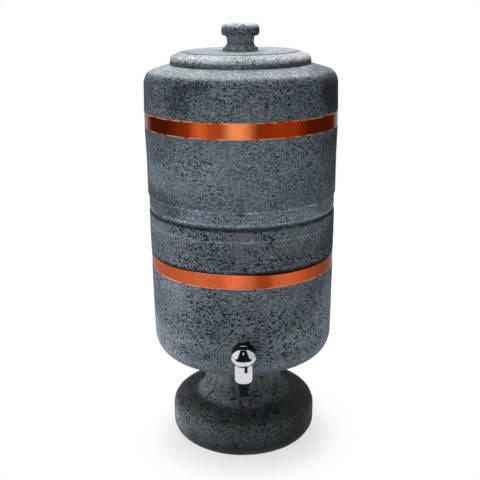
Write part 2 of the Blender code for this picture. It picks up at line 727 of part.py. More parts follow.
def notch_block(inner, is_key):
    """The block that cuts the sleeve's notch, or the slimmer key that the body shows in it."""
    slack = GAP if is_key else 0
    outer = SLEEVE_RADIUS - KEY_SINK if is_key else SLEEVE_RADIUS + OVERRUN
    top = BARREL_ABOVE_SHANK + (0 if is_key else OVERRUN)
    bm = block(
        (inner, -NOTCH_WIDTH / 2 + slack, BARREL_ABOVE_SHANK - NOTCH_DEPTH + slack),
        (outer, NOTCH_WIDTH / 2 - slack, top),
    )
    turned = Matrix.Rotation(math.radians(NOTCH_DEGREES), 3, "Z")
    bmesh.ops.rotate(bm, verts=bm.verts, cent=(0, 0, 0), matrix=turned)
    return bm


def tap_sleeve(parent, chrome):
    """The bright tube round the barrel, rounded in below and slotted to pass over the neck."""
    low = -SLEEVE_BELOW_SHANK
    bore = BARREL_RADIUS + GAP
    lip = SPOUT_RADIUS + GAP
    shoulder = low + SLEEVE_ROUND
    round_centre = (SLEEVE_RADIUS - SLEEVE_ROUND, shoulder)
    under_round = (SLEEVE_ROUND, SLEEVE_ROUND)
    outline = [
        (lip, low),
        *arc(round_centre, under_round, SLEEVE_UNDER_DEGREES, 0, CORNER_ARC_STEPS),
        (SLEEVE_RADIUS, BARREL_ABOVE_SHANK),
        (bore, BARREL_ABOVE_SHANK),
        (bore, shoulder + bore - lip),
        (lip, shoulder),
    ]
    place = (0, -tap_stations()["barrel"], 0)
    sleeve = make_object("tap_chrome_sleeve", turn(outline, TAP_STEPS), chrome, parent, place)
    back_slot = block(
        (-NECK_RADIUS, 0, -NECK_RADIUS),
        (NECK_RADIUS, SLEEVE_RADIUS + OVERRUN, BARREL_ABOVE_SHANK + OVERRUN),
    )
    boolean(sleeve, helper("sleeve_neck_slot", back_slot, parent, place))
    boolean(sleeve, helper("sleeve_notch", notch_block(BARREL_RADIUS, False), parent, place))


def tap_fixings(parent, rubber, plastic):
    at = tap_stations()
    hole = SHANK_RADIUS + GAP
    outer = ring(hole, WASHER_RADIUS, at["outer_face"] + GAP, at["outer_washer"])
    inner = ring(hole, INNER_WASHER_RADIUS, at["inner_washer"], at["inner_face"] - GAP)
    make_object("tap_outer_washer", towards_y(turn(outer, KNOB_STEPS)), rubber, parent)
    make_object("tap_inner_washer", towards_y(turn(inner, TAP_STEPS)), rubber, parent)
    nut_outline = rod(NUT_ACROSS_CORNERS / 2, at["nut"], at["nut"] + NUT_THICKNESS)
    nut = make_object("tap_back_nut", towards_y(turn(nut_outline, NUT_SIDES)), plastic, parent)
    thread = rod(hole, at["nut"] - OVERRUN, at["inner_face"])
    boolean(nut, helper("nut_thread", towards_y(turn(thread, TAP_STEPS)), parent))


def valve_spindle(parent, plastic):
    """The turning plug: sealed above and below a side port that opens into its hollow end."""
    radius = flat_inside(BARREL_BORE_RADIUS, TAP_STEPS) - RUNNING_GAP
    groove_radius = radius - 2 * SEAL_SECTION
    half = SEAL_SECTION + RUNNING_GAP
    low = RUNNING_GAP - BORE_BELOW_SHANK
    top = BARREL_ABOVE_SHANK
    outline = [(0, low), (radius, low)]
    for middle in (-SEAL_BELOW_SHANK, SEAL_ABOVE_SHANK):
        outline += [
            (radius, middle - half),
            (groove_radius, middle - half),
            (groove_radius, middle + half),
            (radius, middle + half),
        ]
    outline += [(radius, top), (0, top)]
    spindle = make_object("tap_valve_spindle", turn(outline, TAP_STEPS), plastic, parent)
    half_drive = DRIVE_WIDTH / 2
    drive = block((-half_drive, -half_drive, top - GAP), (half_drive, half_drive, top + DRIVE_HEIGHT))
    boolean(spindle, helper("spindle_drive", drive, parent), "UNION")
    outlet = turn(rod(WATERWAY_RADIUS, low - OVERRUN, PORT_RADIUS / 4), RIVET_STEPS)
    boolean(spindle, helper("spindle_outlet", outlet, parent))
    port = turn(rod(PORT_RADIUS, -PORT_RADIUS / 2, radius + OVERRUN), RIVET_STEPS, 0.5)
    bmesh.ops.rotate(
        port, verts=port.verts, cent=(0, 0, 0), matrix=Matrix.Rotation(math.pi / 2, 3, "Y")
    )
    boolean(spindle, helper("spindle_port", port, parent))


def seal_outline(middle):
    radius = flat_inside(BARREL_BORE_RADIUS, TAP_STEPS) - RUNNING_GAP / 2 - SEAL_SECTION
    section = (SEAL_SECTION, SEAL_SECTION)
    return arc((radius, middle), section, 0, 360, RING_SECTION_STEPS)[:-1]


def tap_knob(parent, chrome):
    """A bright dome that swells out from the sleeve's width."""
    low = BARREL_ABOVE_SHANK + GAP
    flare_top = low + TAP_KNOB_FLARE_HEIGHT
    widest = flare_top + TAP_KNOB_BAND_HEIGHT
    swell = TAP_KNOB_RADIUS - TAP_KNOB_RIM_RADIUS
    crown = low + TAP_KNOB_HEIGHT - widest
    outline = [
        (0, low),
        *[
            (TAP_KNOB_RIM_RADIUS + swell * across, low + TAP_KNOB_FLARE_HEIGHT * up)
            for across, up in TAP_FLARE_SHARES
        ],
        *[(TAP_KNOB_RADIUS * across, widest + crown * up) for across, up in TAP_DOME_SHARES],
    ]
    knob = make_object("tap_knob", turn(outline, KNOB_STEPS), chrome, parent)
    half = DRIVE_WIDTH / 2 + GAP
    socket = block((-half, -half, low - OVERRUN), (half, half, BARREL_ABOVE_SHANK + DRIVE_HEIGHT + GAP))
    boolean(knob, helper("knob_socket", socket, parent))


def build():
    clear_scene()
    foot_stone = finish("foot_soapstone", (0.085, 0.095, 0.095), 0.62)
    stone = finish("soapstone", (0.115, 0.145, 0.160), 0.60)
    lid_stone = finish("lid_soapstone", (0.170, 0.200, 0.215), 0.62)
    copper = finish("copper", (0.78, 0.27, 0.10), 0.30, 1.0)
    rivet_copper = finish("rivet_copper", (0.70, 0.26, 0.12), 0.35, 1.0)
    chrome = finish("chrome", (0.82, 0.83, 0.85), 0.08, 1.0)
    black_plastic = finish("black_plastic", (0.015, 0.016, 0.018), 0.35)
    white_plastic = finish("white_plastic", (0.80, 0.80, 0.78), 0.40)
    rubber = finish("black_rubber", (0.012, 0.012, 0.012), 0.75)
    ceramic = finish("filter_ceramic", (0.82, 0.80, 0.75), 0.80)
    carbon = finish("carbon_block", (0.02, 0.02, 0.02), 0.90)

    stand = make_axis("stand", (0, 0, 0))
    upper_lift = make_axis("upper_vessel_lift", (0, 0, UPPER_BASE), stand)
    lid_lift = make_axis("lid_lift", (0, 0, LID_BASE - UPPER_BASE), upper_lift)
    tap_place = make_axis("tap_place", (0, 0, TAP_HEIGHT), stand)
    tap_turn = make_axis("tap_turn", (0, -tap_stations()["barrel"], 0), tap_place)

    make_object("pedestal", turn(pedestal_outline(), STONE_STEPS), foot_stone, stand)
    lower = turn(lower_outline(), STONE_STEPS)
    vessel = make_object("lower_vessel", lower, stone, stand, (0, 0, LOWER_BASE))
    drill_for_tap(vessel, stand)
    make_object("upper_vessel", turn(upper_outline(), STONE_STEPS), stone, upper_lift)
    make_object("lid", turn(lid_outline(), STONE_STEPS), lid_stone, lid_lift)
    knob_place = (0, 0, LID_TOP_HEIGHT)
    make_object("lid_knob", turn(lid_knob_outline(), KNOB_STEPS), lid_stone, lid_lift, knob_place)

    lower_wall = lower_wall_radius(LOWER_BAND_HEIGHT)
    lower_band_height = LOWER_BASE + LOWER_BAND_HEIGHT
    band_with_rivets("lower", lower_wall, lower_band_height, stand, copper, rivet_copper)
    band_with_rivets("upper", VESSEL_RADIUS, UPPER_BAND_HEIGHT, upper_lift, copper, rivet_copper)

    candle_place = make_axis("candle_place", (0, 0, UPPER_FLOOR - LOCATING_HEIGHT), upper_lift)
    filter_candle(candle_place, ceramic, carbon, white_plastic, rubber)

    tap_body(tap_place, black_plastic)
    tap_sleeve(tap_place, chrome)
    tap_fixings(tap_place, rubber, black_plastic)
    valve_spindle(tap_turn, black_plastic)
    make_object("tap_upper_seal", turn(seal_outline(SEAL_ABOVE_SHANK), TAP_STEPS), rubber, tap_turn)
    make_object("tap_lower_seal", turn(seal_outline(-SEAL_BELOW_SHANK), TAP_STEPS), rubber, tap_turn)
    tap_knob(tap_turn, chrome)


build()
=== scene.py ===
"""How the turned soapstone water filter looks: fine stone, copper, chrome and ceramic pieces.

Lengths in the outlines are millimetres, and heights count from the floor, the filter closed.
"""

import math

import bmesh
import bpy
from mathutils import Matrix, Vector, noise


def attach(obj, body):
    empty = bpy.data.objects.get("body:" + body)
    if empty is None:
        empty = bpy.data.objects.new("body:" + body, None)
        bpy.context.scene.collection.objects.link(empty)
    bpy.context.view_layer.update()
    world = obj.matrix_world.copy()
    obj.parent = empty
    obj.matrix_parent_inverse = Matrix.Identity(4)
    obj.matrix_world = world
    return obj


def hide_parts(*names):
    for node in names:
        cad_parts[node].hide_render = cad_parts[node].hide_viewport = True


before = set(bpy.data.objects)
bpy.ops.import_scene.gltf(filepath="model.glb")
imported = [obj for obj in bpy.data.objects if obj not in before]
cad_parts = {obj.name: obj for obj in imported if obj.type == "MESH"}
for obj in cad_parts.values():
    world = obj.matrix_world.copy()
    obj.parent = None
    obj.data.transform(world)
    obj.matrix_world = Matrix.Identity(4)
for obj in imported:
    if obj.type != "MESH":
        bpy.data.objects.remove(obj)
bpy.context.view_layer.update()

MM = 0.001
FULL_TURN = 360.0

# Steps round a full turn
STONE_STEPS = 192
SMALL_STEPS = 96
TINY_STEPS = 48
STRIP_STEPS = 200
SIDES_OF_NUT = 6

# The longest run of an outline that stays in one piece, and how near its points merge
STONE_RUN = 6.0
FINE_RUN = 3.0
WHOLE_RUN = 50.0
MERGED = 0.0005

# Edges that bend by more degrees than this stay crisp
CRISP = 30
CRISP_METAL = 12
CRISP_NUT = 20
CRISP_DOME = 50

# Bands
UPPER_BAND = 393.7
LOWER_BAND = 230.5
UPPER_STRIP_INSIDE = 108.9
LOWER_STRIP_INSIDE = 106.587
STRIP_WIDTH = 18.0
STRIP_THICKNESS = 0.8
STRIP_ROUNDING = 0.35
STRIP_LIFT = 1.1
LAP_ANGLE = 15.0
LIFTING_ANGLE = 6.0
RIVET_OFFSET = 4.5
RIVET_GRIP = 1.5
RIVET_SHAFT = 1.3
RIVET_HEAD = 2.8

# Tap
TAP_AXIS = -140.997
SHANK_HEIGHT = 146.0
TUBE_TOP = 150.8
ABOVE_TUBE = 153.8
OUTSIDE_TUBE = 12.5
NOTCH_ANGLE = -74.0
NOTCH_BOTTOM = 144.2
NOTCH_HALF_WIDTH = 1.65
KEY_SLACK = 0.08
KEY_ROUNDING = 0.05


class Value:
    """A shader socket that adds Math nodes as it is reckoned with."""

    def __init__(self, nodes, socket):
        self.nodes = nodes
        self.socket = socket

    def __add__(self, other):
        return self.nodes.math("ADD", self, other)

    def __radd__(self, other):
        return self.nodes.math("ADD", self, other)

    def __sub__(self, other):
        return self.nodes.math("SUBTRACT", self, other)

    def __rsub__(self, other):
        return self.nodes.math("SUBTRACT", other, self)

    def __mul__(self, other):
        return self.nodes.math("MULTIPLY", self, other)

    def __rmul__(self, other):
        return self.nodes.math("MULTIPLY", self, other)

    def __abs__(self):
        return self.nodes.math("ABSOLUTE", self)


class Nodes:
    """A shader's node tree, where sockets take plain values or links alike."""

    def __init__(self, tree):
        self.tree = tree

    def node(self, kind, settings, sockets, output=0):
        made = self.tree.nodes.new(kind)
        for name, value in settings.items():
            if name == "stops":
                ramp = made.color_ramp
                while len(ramp.elements) < len(value):
                    ramp.elements.new(0.5)
                for element, (at, colour) in zip(ramp.elements, value):
                    element.position = at
                    element.color = (*colour, 1.0)
            else:
                setattr(made, name, value)
        for name, value in sockets.items():
            self.plug(made.inputs[name], value)
        return Value(self, made.outputs[output])

    def plug(self, socket, value):
        if isinstance(value, Value):
            self.tree.links.new(value.socket, socket)
        elif socket.type == "RGBA":
            socket.default_value = (*value, 1.0)
        else:
            socket.default_value = value

    def math(self, operation, first, second=0.0):
        return self.node("ShaderNodeMath", {"operation": operation}, {0: first, 1: second})

    def vector(self, operation, first, second):
        return self.node("ShaderNodeVectorMath", {"operation": operation}, {0: first, 1: second})

    def scaled(self, colour, gain):
        settings = {"operation": "SCALE"}
        return self.node("ShaderNodeVectorMath", settings, {0: colour, "Scale": gain})

    def place(self):
        return self.node("ShaderNodeTexCoord", {}, {}, "Object")

    def moved(self, place, shift=(0, 0, 0), scale=(1, 1, 1)):
        sockets = {"Vector": place, "Location": shift, "Scale": scale}
        return self.node("ShaderNodeMapping", {}, sockets)

    def parts(self, place):
        """The three numbers of a place or a colour."""
        made = self.tree.nodes.new("ShaderNodeSeparateXYZ")
        self.plug(made.inputs[0], place)
        return [Value(self, socket) for socket in made.outputs]

    def from_axis(self, x, y):
        return self.math("SQRT", x * x + y * y)

    def noise(self, place, scale, detail=3.0, roughness=0.55, output="Fac"):
        sockets = {"Vector": place, "Scale": scale, "Detail": detail, "Roughness": roughness}
        return self.node("ShaderNodeTexNoise", {}, sockets, output)

    def rise(self, value, low, high, start=0.0, end=1.0):
        """Eases from start to end as value goes from low to high."""
        settings = {"interpolation_type": "SMOOTHSTEP"}
        limits = {"From Min": low, "From Max": high, "To Min": start, "To Max": end}
        return self.node("ShaderNodeMapRange", settings, {"Value": value, **limits})

    def mix(self, share, first, second):
        settings = {"data_type": "RGBA", "blend_type": "MIX"}
        return self.node("ShaderNodeMix", settings, {0: share, 6: first, 7: second}, 2)

    def ramp(self, share, stops):
        return self.node("ShaderNodeValToRGB", {"stops": stops}, {"Fac": share})

    def glow(self, colour, strength=1.0):
        return self.node("ShaderNodeEmission", {}, {"Color": colour, "Strength": strength})

    def blended(self, share, first, second):
        return self.node("ShaderNodeMixShader", {}, {0: share, 1: first, 2: second})

    def rays(self, *kinds):
        """One value for each kind of ray, 1 where the ray is of that kind."""
        path = self.tree.nodes.new("ShaderNodeLightPath")
        return [Value(self, path.outputs[f"Is {kind} Ray"]) for kind in kinds]


class Finish(Nodes):
    """A material with one Principled shader."""

    def __init__(self, name, metallic=0.0, specular=0.5):
        self.material = bpy.data.materials.new(name)
        self.material.use_nodes = True
        super().__init__(self.material.node_tree)
        self.shader = self.tree.nodes["Principled BSDF"]
        self.shader.inputs["Metallic"].default_value = metallic
        self.shader.inputs["Specular IOR Level"].default_value = specular

    def feed(self, **sockets):
        for name, value in sockets.items():
            self.plug(self.shader.inputs[name.replace("_", " ")], value)

    def bump(self, height, distance, strength):
        sockets = {"Height": height, "Distance": distance, "Strength": strength}
        self.feed(Normal=self.node("ShaderNodeBump", {}, sockets))

    def show(self, shader):
        """Shows another shader instead of the Principled one."""
        self.tree.nodes.remove(self.shader)
        self.plug(self.tree.nodes["Material Output"].inputs["Surface"], shader)


# Finishes

# Where most of a noise's values lie
SPREAD = (0.34, 0.66)

# Soapstone
PALE = (0.200, 0.243, 0.276)
MIDDLE = (0.138, 0.178, 0.203)
PURPLE = (0.167, 0.168, 0.211)
GREEN = (0.124, 0.178, 0.175)
SPOT = (0.009, 0.014, 0.022)
FLECK = (0.36, 0.42, 0.46)
GREYER = (0.99, 0.92, 0.89)
STONE_GLOSS = 0.12
STONE_RELIEF = 0.0005

# How far its spots are bent out of round, in metres, how soft their edge is and how dark they are
SPOT_BEND = 0.0028
SPOT_EDGE = 0.05
SPOT_DEPTH = 0.96

# Its lines and scratches, and within how many metres of its middle the front's marks fade out
LATHE_GAIN = 1.55
SCRATCH_EDGE = (0.8 * MM, 0.2 * MM)
SCRATCH_WANDER = 0.006
FRONT_EDGE = 0.01

# Copper, and how much of its red, green and blue is left where it is dull
DULLED = (0.94, 0.80, 0.70)
POLISHED_LINE = (0.93, 0.36, 0.17)
DEEP_RED = (0.62, 0.12, 0.04)
# Paler rubbed edges, which also paint the highlight along the strip's edges
RUBBED_EDGE_AND_SHEEN = (0.90, 0.52, 0.40)
# Painted shade under the groove's upper lip, along the lower strip's upper edge
GROOVE_SHADE = (0.035, 0.012, 0.008)
COPPER_RELIEF = 0.00018

# Chrome
CHROME = (0.66, 0.67, 0.71)
HAZY_CHROME = (0.60, 0.61, 0.64)
CHROME_RELIEF = 0.00008


def gained(tone, share, gain):
    """A tone, multiplied by gain as far as share says."""
    return tone * (1.0 + share * (gain - 1.0))


def spots(stone, place, scale, share, size):
    """Dark mineral spots: in a share of the cells, each of its own size."""
    cells = {"Vector": place, "Scale": scale, "Randomness": 1.0}
    near = stone.node("ShaderNodeTexVoronoi", {}, cells, "Distance")
    tint = stone.node("ShaderNodeTexVoronoi", {}, cells, "Color")
    lot, spread, _ = stone.parts(tint)
    reach = size * (0.5 + 0.7 * spread)
    chosen = stone.rise(lot, 1.0 - share, 1.02 - share)
    return stone.rise(near - reach, SPOT_EDGE, -SPOT_EDGE) * chosen


def soapstone(
    name, shift, light, spotted, spot_scale, shade_and_light_rings=(), shade_and_light_patches=(), gathers=(), rows=(), scratches=(),
    lit_top=None,
):
    """Turned soapstone: clouded grey-blue, peppered, with blue-black spots and lathe lines.

    shift moves its pattern, light scales its colour, spotted the number of spots and spot_scale
    their fineness. The rest is in millimetres, and a gain over 1 is paler:
    shade_and_light_rings all round, painted shade with a gain under 1 and painted light over it:
    (height, half width, gain)
    shade_and_light_patches on its front, painted shade where the share is over 0 and painted light
    where it is under 0: (x, height, half width, half height, share of the tone taken off)
    gathers of spots on its front: (x, height, half width, half height)
    rows of spots all round: (height, half width, crowd)
    scratches on its front: (x, height, half length, slope in degrees, gain)
    lit_top, painted light on the top, which is also greyer there with fewer spots:
    (height it starts at, height it is full at, gain)
    """
    stone = Finish(name, specular=STONE_GLOSS)
    raw = stone.place()
    x, y, z = stone.parts(raw)
    front = stone.rise(y, FRONT_EDGE, -FRONT_EDGE)
    place = stone.moved(raw, shift)
    stir = stone.noise(place, 420.0, 2.0, 0.6, "Color")
    bent = stone.vector("ADD", place, stone.scaled(stir, SPOT_BEND))
    flat = stone.moved(bent, scale=(1, 1, 1.6))

    # The ground's colour, in clouds
    cloud = stone.noise(place, 9.0, 4.0, 0.6)
    tint = stone.noise(stone.moved(place, (3.1, 0, 0)), 24.0, 4.0, 0.6)
    base = stone.mix(stone.rise(cloud, 0.38, 0.66), MIDDLE, PALE)
    base = stone.mix(stone.rise(tint, 0.50, 0.64) * 0.65, base, PURPLE)
    base = stone.mix(stone.rise(tint, 0.46, 0.34) * 0.4, base, GREEN)
    base = stone.vector("MULTIPLY", base, light)

    # Its tone: grain, drag marks and dashes along the turning, lathe lines, rings of painted shade
    # and light
    fine = stone.noise(place, 760.0, 3.0, 0.7)
    coarse = stone.noise(flat, 330.0, 4.0, 0.7)
    drag = stone.noise(stone.moved(place, scale=(1, 1, 7)), 120.0, 4.0, 0.7)
    dashes = stone.noise(stone.moved(place, (0, 5.3, 0), (1, 1, 9)), 105.0, 3.0, 0.7)
    tone = stone.rise(fine, *SPREAD, 0.62, 1.48) * stone.rise(coarse, *SPREAD, 0.68, 1.42)
    tone = tone * stone.rise(drag, *SPREAD, 0.84, 1.18)
    tone = tone * stone.rise(dashes, 0.57, 0.68, 1.0, 1.55)

    breaks = stone.noise(place, 30.0, 3.0, 0.7)
    patchy = stone.rise(breaks, 0.34, 0.52, 0.55, 1.0)
    turned = stone.node("ShaderNodeCombineXYZ", {}, {0: stone.from_axis(x, y), 1: z, 2: 0.0})
    lines = stone.noise(turned, 480.0, 2.0, 0.8)
    lathe = stone.rise(lines, 0.58, 0.70) * stone.rise(breaks, 0.48, 0.62)
    tone = gained(tone, lathe, LATHE_GAIN)
    # Rings all round of painted shade (gain under 1) and painted light (gain over 1)
    for height, half_width, gain in shade_and_light_rings:
        off = abs(z - height * MM)
        on = stone.rise(off, half_width * 1.3 * MM, half_width * 0.4 * MM)
        tone = gained(tone, on * patchy, gain)

    def ragged(centre, height, half_width, half_height):
        """An oval with a ragged edge on the front, 1 inside it."""
        beside = (x - centre * MM) * (1 / (half_width * MM))
        above = (z - height * MM) * (1 / (half_height * MM))
        reach = beside * beside + above * above + (coarse - 0.5) * 2.6 + (breaks - 0.5) * 1.5
        return stone.rise(reach, 1.1, 0.1) * front

    # Spots, as thick as their crowd says, and pepper between them
    crowd = stone.rise(stone.noise(place, 19.0, 3.0, 0.6), 0.40, 0.56) * (0.6 if gathers else 1.0)
    for gather in gathers:
        crowd = stone.math("MAXIMUM", crowd, ragged(*gather) * 1.3)
    for height, half_width, full in rows:
        off = abs(z - height * MM)
        crowd = crowd + (full - crowd) * stone.rise(off, half_width * MM, 0.0)
    large = spots(stone, flat, 175.0 * spot_scale, 0.70 * spotted, 0.32) * crowd
    small = spots(stone, flat, 330.0 * spot_scale, 0.62 * spotted, 0.42) * (0.25 + 0.9 * crowd)
    grains = stone.rise(stone.noise(flat, 480.0, 2.0, 0.6), 0.57, 0.63)
    pepper = grains * (0.40 + 0.50 * crowd) * (0.80 * spotted)
    dark = stone.math("MINIMUM", large + small + pepper, 1.0)

    # Painted light and a greyer tone on the top, patches of painted shade and light, and scratches
    if lit_top:
        low, high, gain = lit_top
        top = stone.rise(z, low * MM, high * MM)
        tone = gained(tone, top, gain)
        base = stone.mix(top, base, stone.vector("MULTIPLY", base, GREYER))
        dark = dark * (1.0 - top * 0.65)
    # Patches of painted shade and light on the front
    for *oval, share in shade_and_light_patches:
        tone = tone * (1.0 - ragged(*oval) * share)
    for centre, height, half_length, slope, gain in scratches:
        run, rise = math.cos(math.radians(slope)), math.sin(math.radians(slope))
        beside, above = x - centre * MM, z - height * MM
        along = abs(beside * run + above * rise)
        off = abs(above * run - beside * rise + (breaks - 0.5) * SCRATCH_WANDER)
        on = stone.rise(off, *SCRATCH_EDGE)
        on = on * stone.rise(along, half_length * MM, 0.6 * half_length * MM)
        tone = gained(tone, on * front, gain)

    flecks = stone.rise(stone.noise(flat, 900.0, 1.0), 0.66, 0.76) * 0.35
    colour = stone.mix(flecks, base, FLECK)
    colour = stone.mix(dark * SPOT_DEPTH, stone.scaled(colour, tone), SPOT)
    stone.feed(Base_Color=colour, Roughness=stone.rise(fine, 0.2, 0.8, 0.54, 0.76) - dark * 0.10)
    relief = fine * 0.3 + coarse * 0.5 + drag * 0.4 + lathe * 0.3 - dark * 0.45
    stone.bump(relief, STONE_RELIEF, 0.7)
    return stone.material


def copper(name, middle_height, tone, shaded_depth):
    """Hand-polished strip: fine lines along it, faint dull clouds, paler rubbed edges that carry a
    painted highlight.

    shaded_depth is how many millimetres under its upper edge are painted dark on its right, as
    painted shade under the groove's upper lip. On its left and in its middle they are fewer, and
    with 0 there is no painted shade.
    """
    metal = Finish(name, metallic=1.0)
    raw = metal.place()
    x, _, z = metal.parts(raw)
    above = (z - middle_height * MM) * (1 / MM)
    streak = metal.noise(metal.moved(raw, scale=(1, 1, 26)), 40.0, 5.0, 0.75)
    upright = metal.noise(metal.moved(raw, scale=(1, 1, 0.06)), 160.0, 3.0, 0.7)
    cloud = metal.noise(raw, 30.0, 4.0, 0.6)
    worn = metal.noise(raw, 90.0, 3.0, 0.7)
    edge = metal.rise(abs(above), 7.3, 8.0) * metal.rise(worn, 0.40, 0.54)
    dull = metal.rise(cloud, 0.42, 0.68)
    dull_tone = tuple(share * part for share, part in zip(DULLED, tone))
    colour = metal.mix(dull, tone, dull_tone)
    colour = metal.mix(metal.rise(streak, 0.56, 0.76) * 0.25, colour, POLISHED_LINE)
    colour = metal.mix(metal.rise(upright, 0.48, 0.70) * 0.35, colour, DEEP_RED)
    # The edges: paler where rubbed, and a painted highlight too
    colour = metal.mix(edge * 0.8, colour, RUBBED_EDGE_AND_SHEEN)
    # Painted shade along the upper edge, under the groove's lip
    if shaded_depth:
        depth = metal.rise(x, -0.02, 0.05, 0.7, shaded_depth) + metal.rise(x, -0.04, -0.08)
        dark = metal.rise(above + depth + (worn - 0.5) * 1.2, 8.6, 9.2)
        colour = metal.mix(dark, colour, GROOVE_SHADE)
        edge = edge * (1.0 - dark)
    rough = metal.rise(streak, 0.2, 0.8, 0.11, 0.17) + dull * 0.04 + edge * 0.30
    metal.feed(Base_Color=colour, Roughness=rough, Metallic=1.0 - edge * 0.7)
    metal.bump(streak * 0.35 + cloud * 1.2, COPPER_RELIEF, 0.5)
    return metal.material


def chrome():
    """Bright plating with faint smears and a slightly uneven surface."""
    metal = Finish("chrome", metallic=1.0)
    raw = metal.place()
    hazy = metal.rise(metal.noise(raw, 260.0, 3.0, 0.6), 0.45, 0.70)
    colour = metal.mix(hazy, CHROME, HAZY_CHROME)
    metal.feed(Base_Color=colour, Roughness=0.06 + hazy * 0.06)
    metal.bump(metal.noise(raw, 90.0, 2.0), CHROME_RELIEF, 0.5)
    return metal.material


def plain(name, colour, worn, roughness, scale, relief, metallic=0.0, specular=0.5):
    """A moulded or pressed finish: slightly clouded, with a fine grain."""
    made = Finish(name, metallic, specular)
    raw = made.place()
    cloud = made.noise(raw, scale * 0.12, 3.0, 0.6)
    grain = made.noise(raw, scale, 3.0, 0.65)
    share = made.rise(cloud, 0.35, 0.70) * 0.6 + made.rise(grain, 0.45, 0.75) * 0.4
    made.feed(
        Base_Color=made.mix(share, colour, worn),
        Roughness=made.rise(grain, 0.25, 0.75, roughness - 0.06, roughness + 0.08),
    )
    made.bump(grain, relief, 0.6)
    return made.material


# Making pieces

# The walls' unevenness and chips: noise scales and reaches in millimetres
WIDE_SWAY = 0.025
CLOSE_SWAY = 0.1
SWAY_FADE = 6
CHIP_SCALE = 0.12
CHIP_SHIFT = Vector((7, 3, 1))
CHIP_REACH = 3
CHIP_LEAST = 0.15


def arc(centre, size, start, end, points, power=2.0):
    """Points on an ellipse's arc, or on a squarer one for a power over 2."""
    found = []
    for step in range(points + 1):
        angle = math.radians(start + (end - start) * step / points)
        across, up = math.cos(angle), math.sin(angle)
        found.append((
            centre[0] + size[0] * math.copysign(abs(across) ** (2 / power), across),
            centre[1] + size[1] * math.copysign(abs(up) ** (2 / power), up),
        ))
    return found


def curve(points, cuts=5):
    """A smooth line through the points."""
    padded = [points[0], *points, points[-1]]
    found = []
    for before, start, end, after in zip(padded, padded[1:], padded[2:], padded[3:]):
        for step in range(cuts):
            t = step / cuts
            found.append(tuple(
                0.5 * (
                    2 * s + (e - b) * t + (2 * b - 5 * s + 4 * e - a) * t * t
                    + (3 * s - b - 3 * e + a) * t ** 3
                )
                for b, s, e, a in zip(before, start, end, after)
            ))
    return [*found, points[-1]]


def spun(outline, steps=SMALL_STEPS, longest=STONE_RUN):
    """The solid that a closed (radius, height) outline sweeps round Z, its long runs divided.

    A third number rounds that corner off by so many millimetres.
    """
    bm = bmesh.new()
    points = [bm.verts.new((corner[0], 0, corner[1])) for corner in outline]
    for first, second in zip(points, points[1:] + points[:1]):
        if first.co.x > 0 or second.co.x > 0:
            bm.edges.new((first, second))
    for point, corner in zip(points, outline):
        if len(corner) > 2:
            bmesh.ops.bevel(
                bm, geom=[point], offset=corner[2], offset_type="OFFSET", segments=3, profile=0.5,
                affect="VERTICES", material=-1,
            )
    for edge in list(bm.edges):
        cuts = math.ceil(edge.calc_length() / longest) - 1
        if cuts > 0:
            bmesh.ops.subdivide_edges(bm, edges=[edge], cuts=cuts)
    bmesh.ops.spin(
        bm, geom=bm.verts[:] + bm.edges[:], cent=(0, 0, 0), axis=(0, 0, 1), angle=math.tau,
        steps=steps, use_merge=True,
    )
    bmesh.ops.remove_doubles(bm, verts=bm.verts, dist=MERGED)
    bmesh.ops.dissolve_degenerate(bm, edges=bm.edges, dist=MERGED)
    bmesh.ops.recalc_face_normals(bm, faces=bm.faces)
    return bm


def weathered(bm, depth, stretches, least_radius, edges, chip):
    """Hand-turned unevenness of the outer wall in stretches of height, chipped at some edges."""
    for vert in bm.verts:
        radius = math.hypot(vert.co.x, vert.co.y)
        inside = max(min(vert.co.z - low, high - vert.co.z) for low, high in stretches)
        if radius < least_radius or inside < 0:
            continue
        wide, close = noise.noise(vert.co * WIDE_SWAY), noise.noise(vert.co * CLOSE_SWAY)
        sway = (0.6 * wide + 0.4 * close) * min(1, inside / SWAY_FADE)
        near_edge = max((1 - abs(vert.co.z - edge) / CHIP_REACH for edge in edges), default=0)
        weak = noise.noise(vert.co * CHIP_SCALE + CHIP_SHIFT) - CHIP_LEAST
        bite = max(0, near_edge) * max(0, weak)
        gain = 1 + (depth * sway - chip * bite) / radius
        vert.co.x *= gain
        vert.co.y *= gain
    return bm


def laid_along_y(bm):
    """Turns a spun shape so that its height runs towards -Y."""
    turned = Matrix.Rotation(math.pi / 2, 3, "X")
    bmesh.ops.rotate(bm, verts=bm.verts, cent=(0, 0, 0), matrix=turned)
    return bm


def shifted(bm, x=0.0, y=0.0, z=0.0):
    bmesh.ops.translate(bm, vec=(x, y, z), verts=bm.verts)
    return bm


def turned_round(bm, angle):
    """Turns a shape round Z, by degrees."""
    turn = Matrix.Rotation(math.radians(angle), 3, "Z")
    bmesh.ops.rotate(bm, verts=bm.verts, cent=(0, 0, 0), matrix=turn)
    return bm


def joined(*shapes):
    """One bmesh that holds them all."""
    whole = bmesh.new()
    for bm in shapes:
        mesh = bpy.data.meshes.new("held")
        bm.to_mesh(mesh)
        bm.free()
        whole.from_mesh(mesh)
        bpy.data.meshes.remove(mesh)
    return whole


def block(low, high, rounding=0.0):
    """A box between two corners, its edges rounded."""
    bm = bmesh.new()
    bmesh.ops.create_cube(bm, size=1)
    bmesh.ops.scale(bm, vec=Vector(high) - Vector(low), verts=bm.verts)
    bmesh.ops.translate(bm, vec=(Vector(low) + Vector(high)) / 2, verts=bm.verts)
    if rounding:
        bmesh.ops.bevel(
            bm, geom=bm.edges[:], offset=rounding, segments=3, profile=0.5, affect="EDGES",
            material=-1,
        )
    return bm


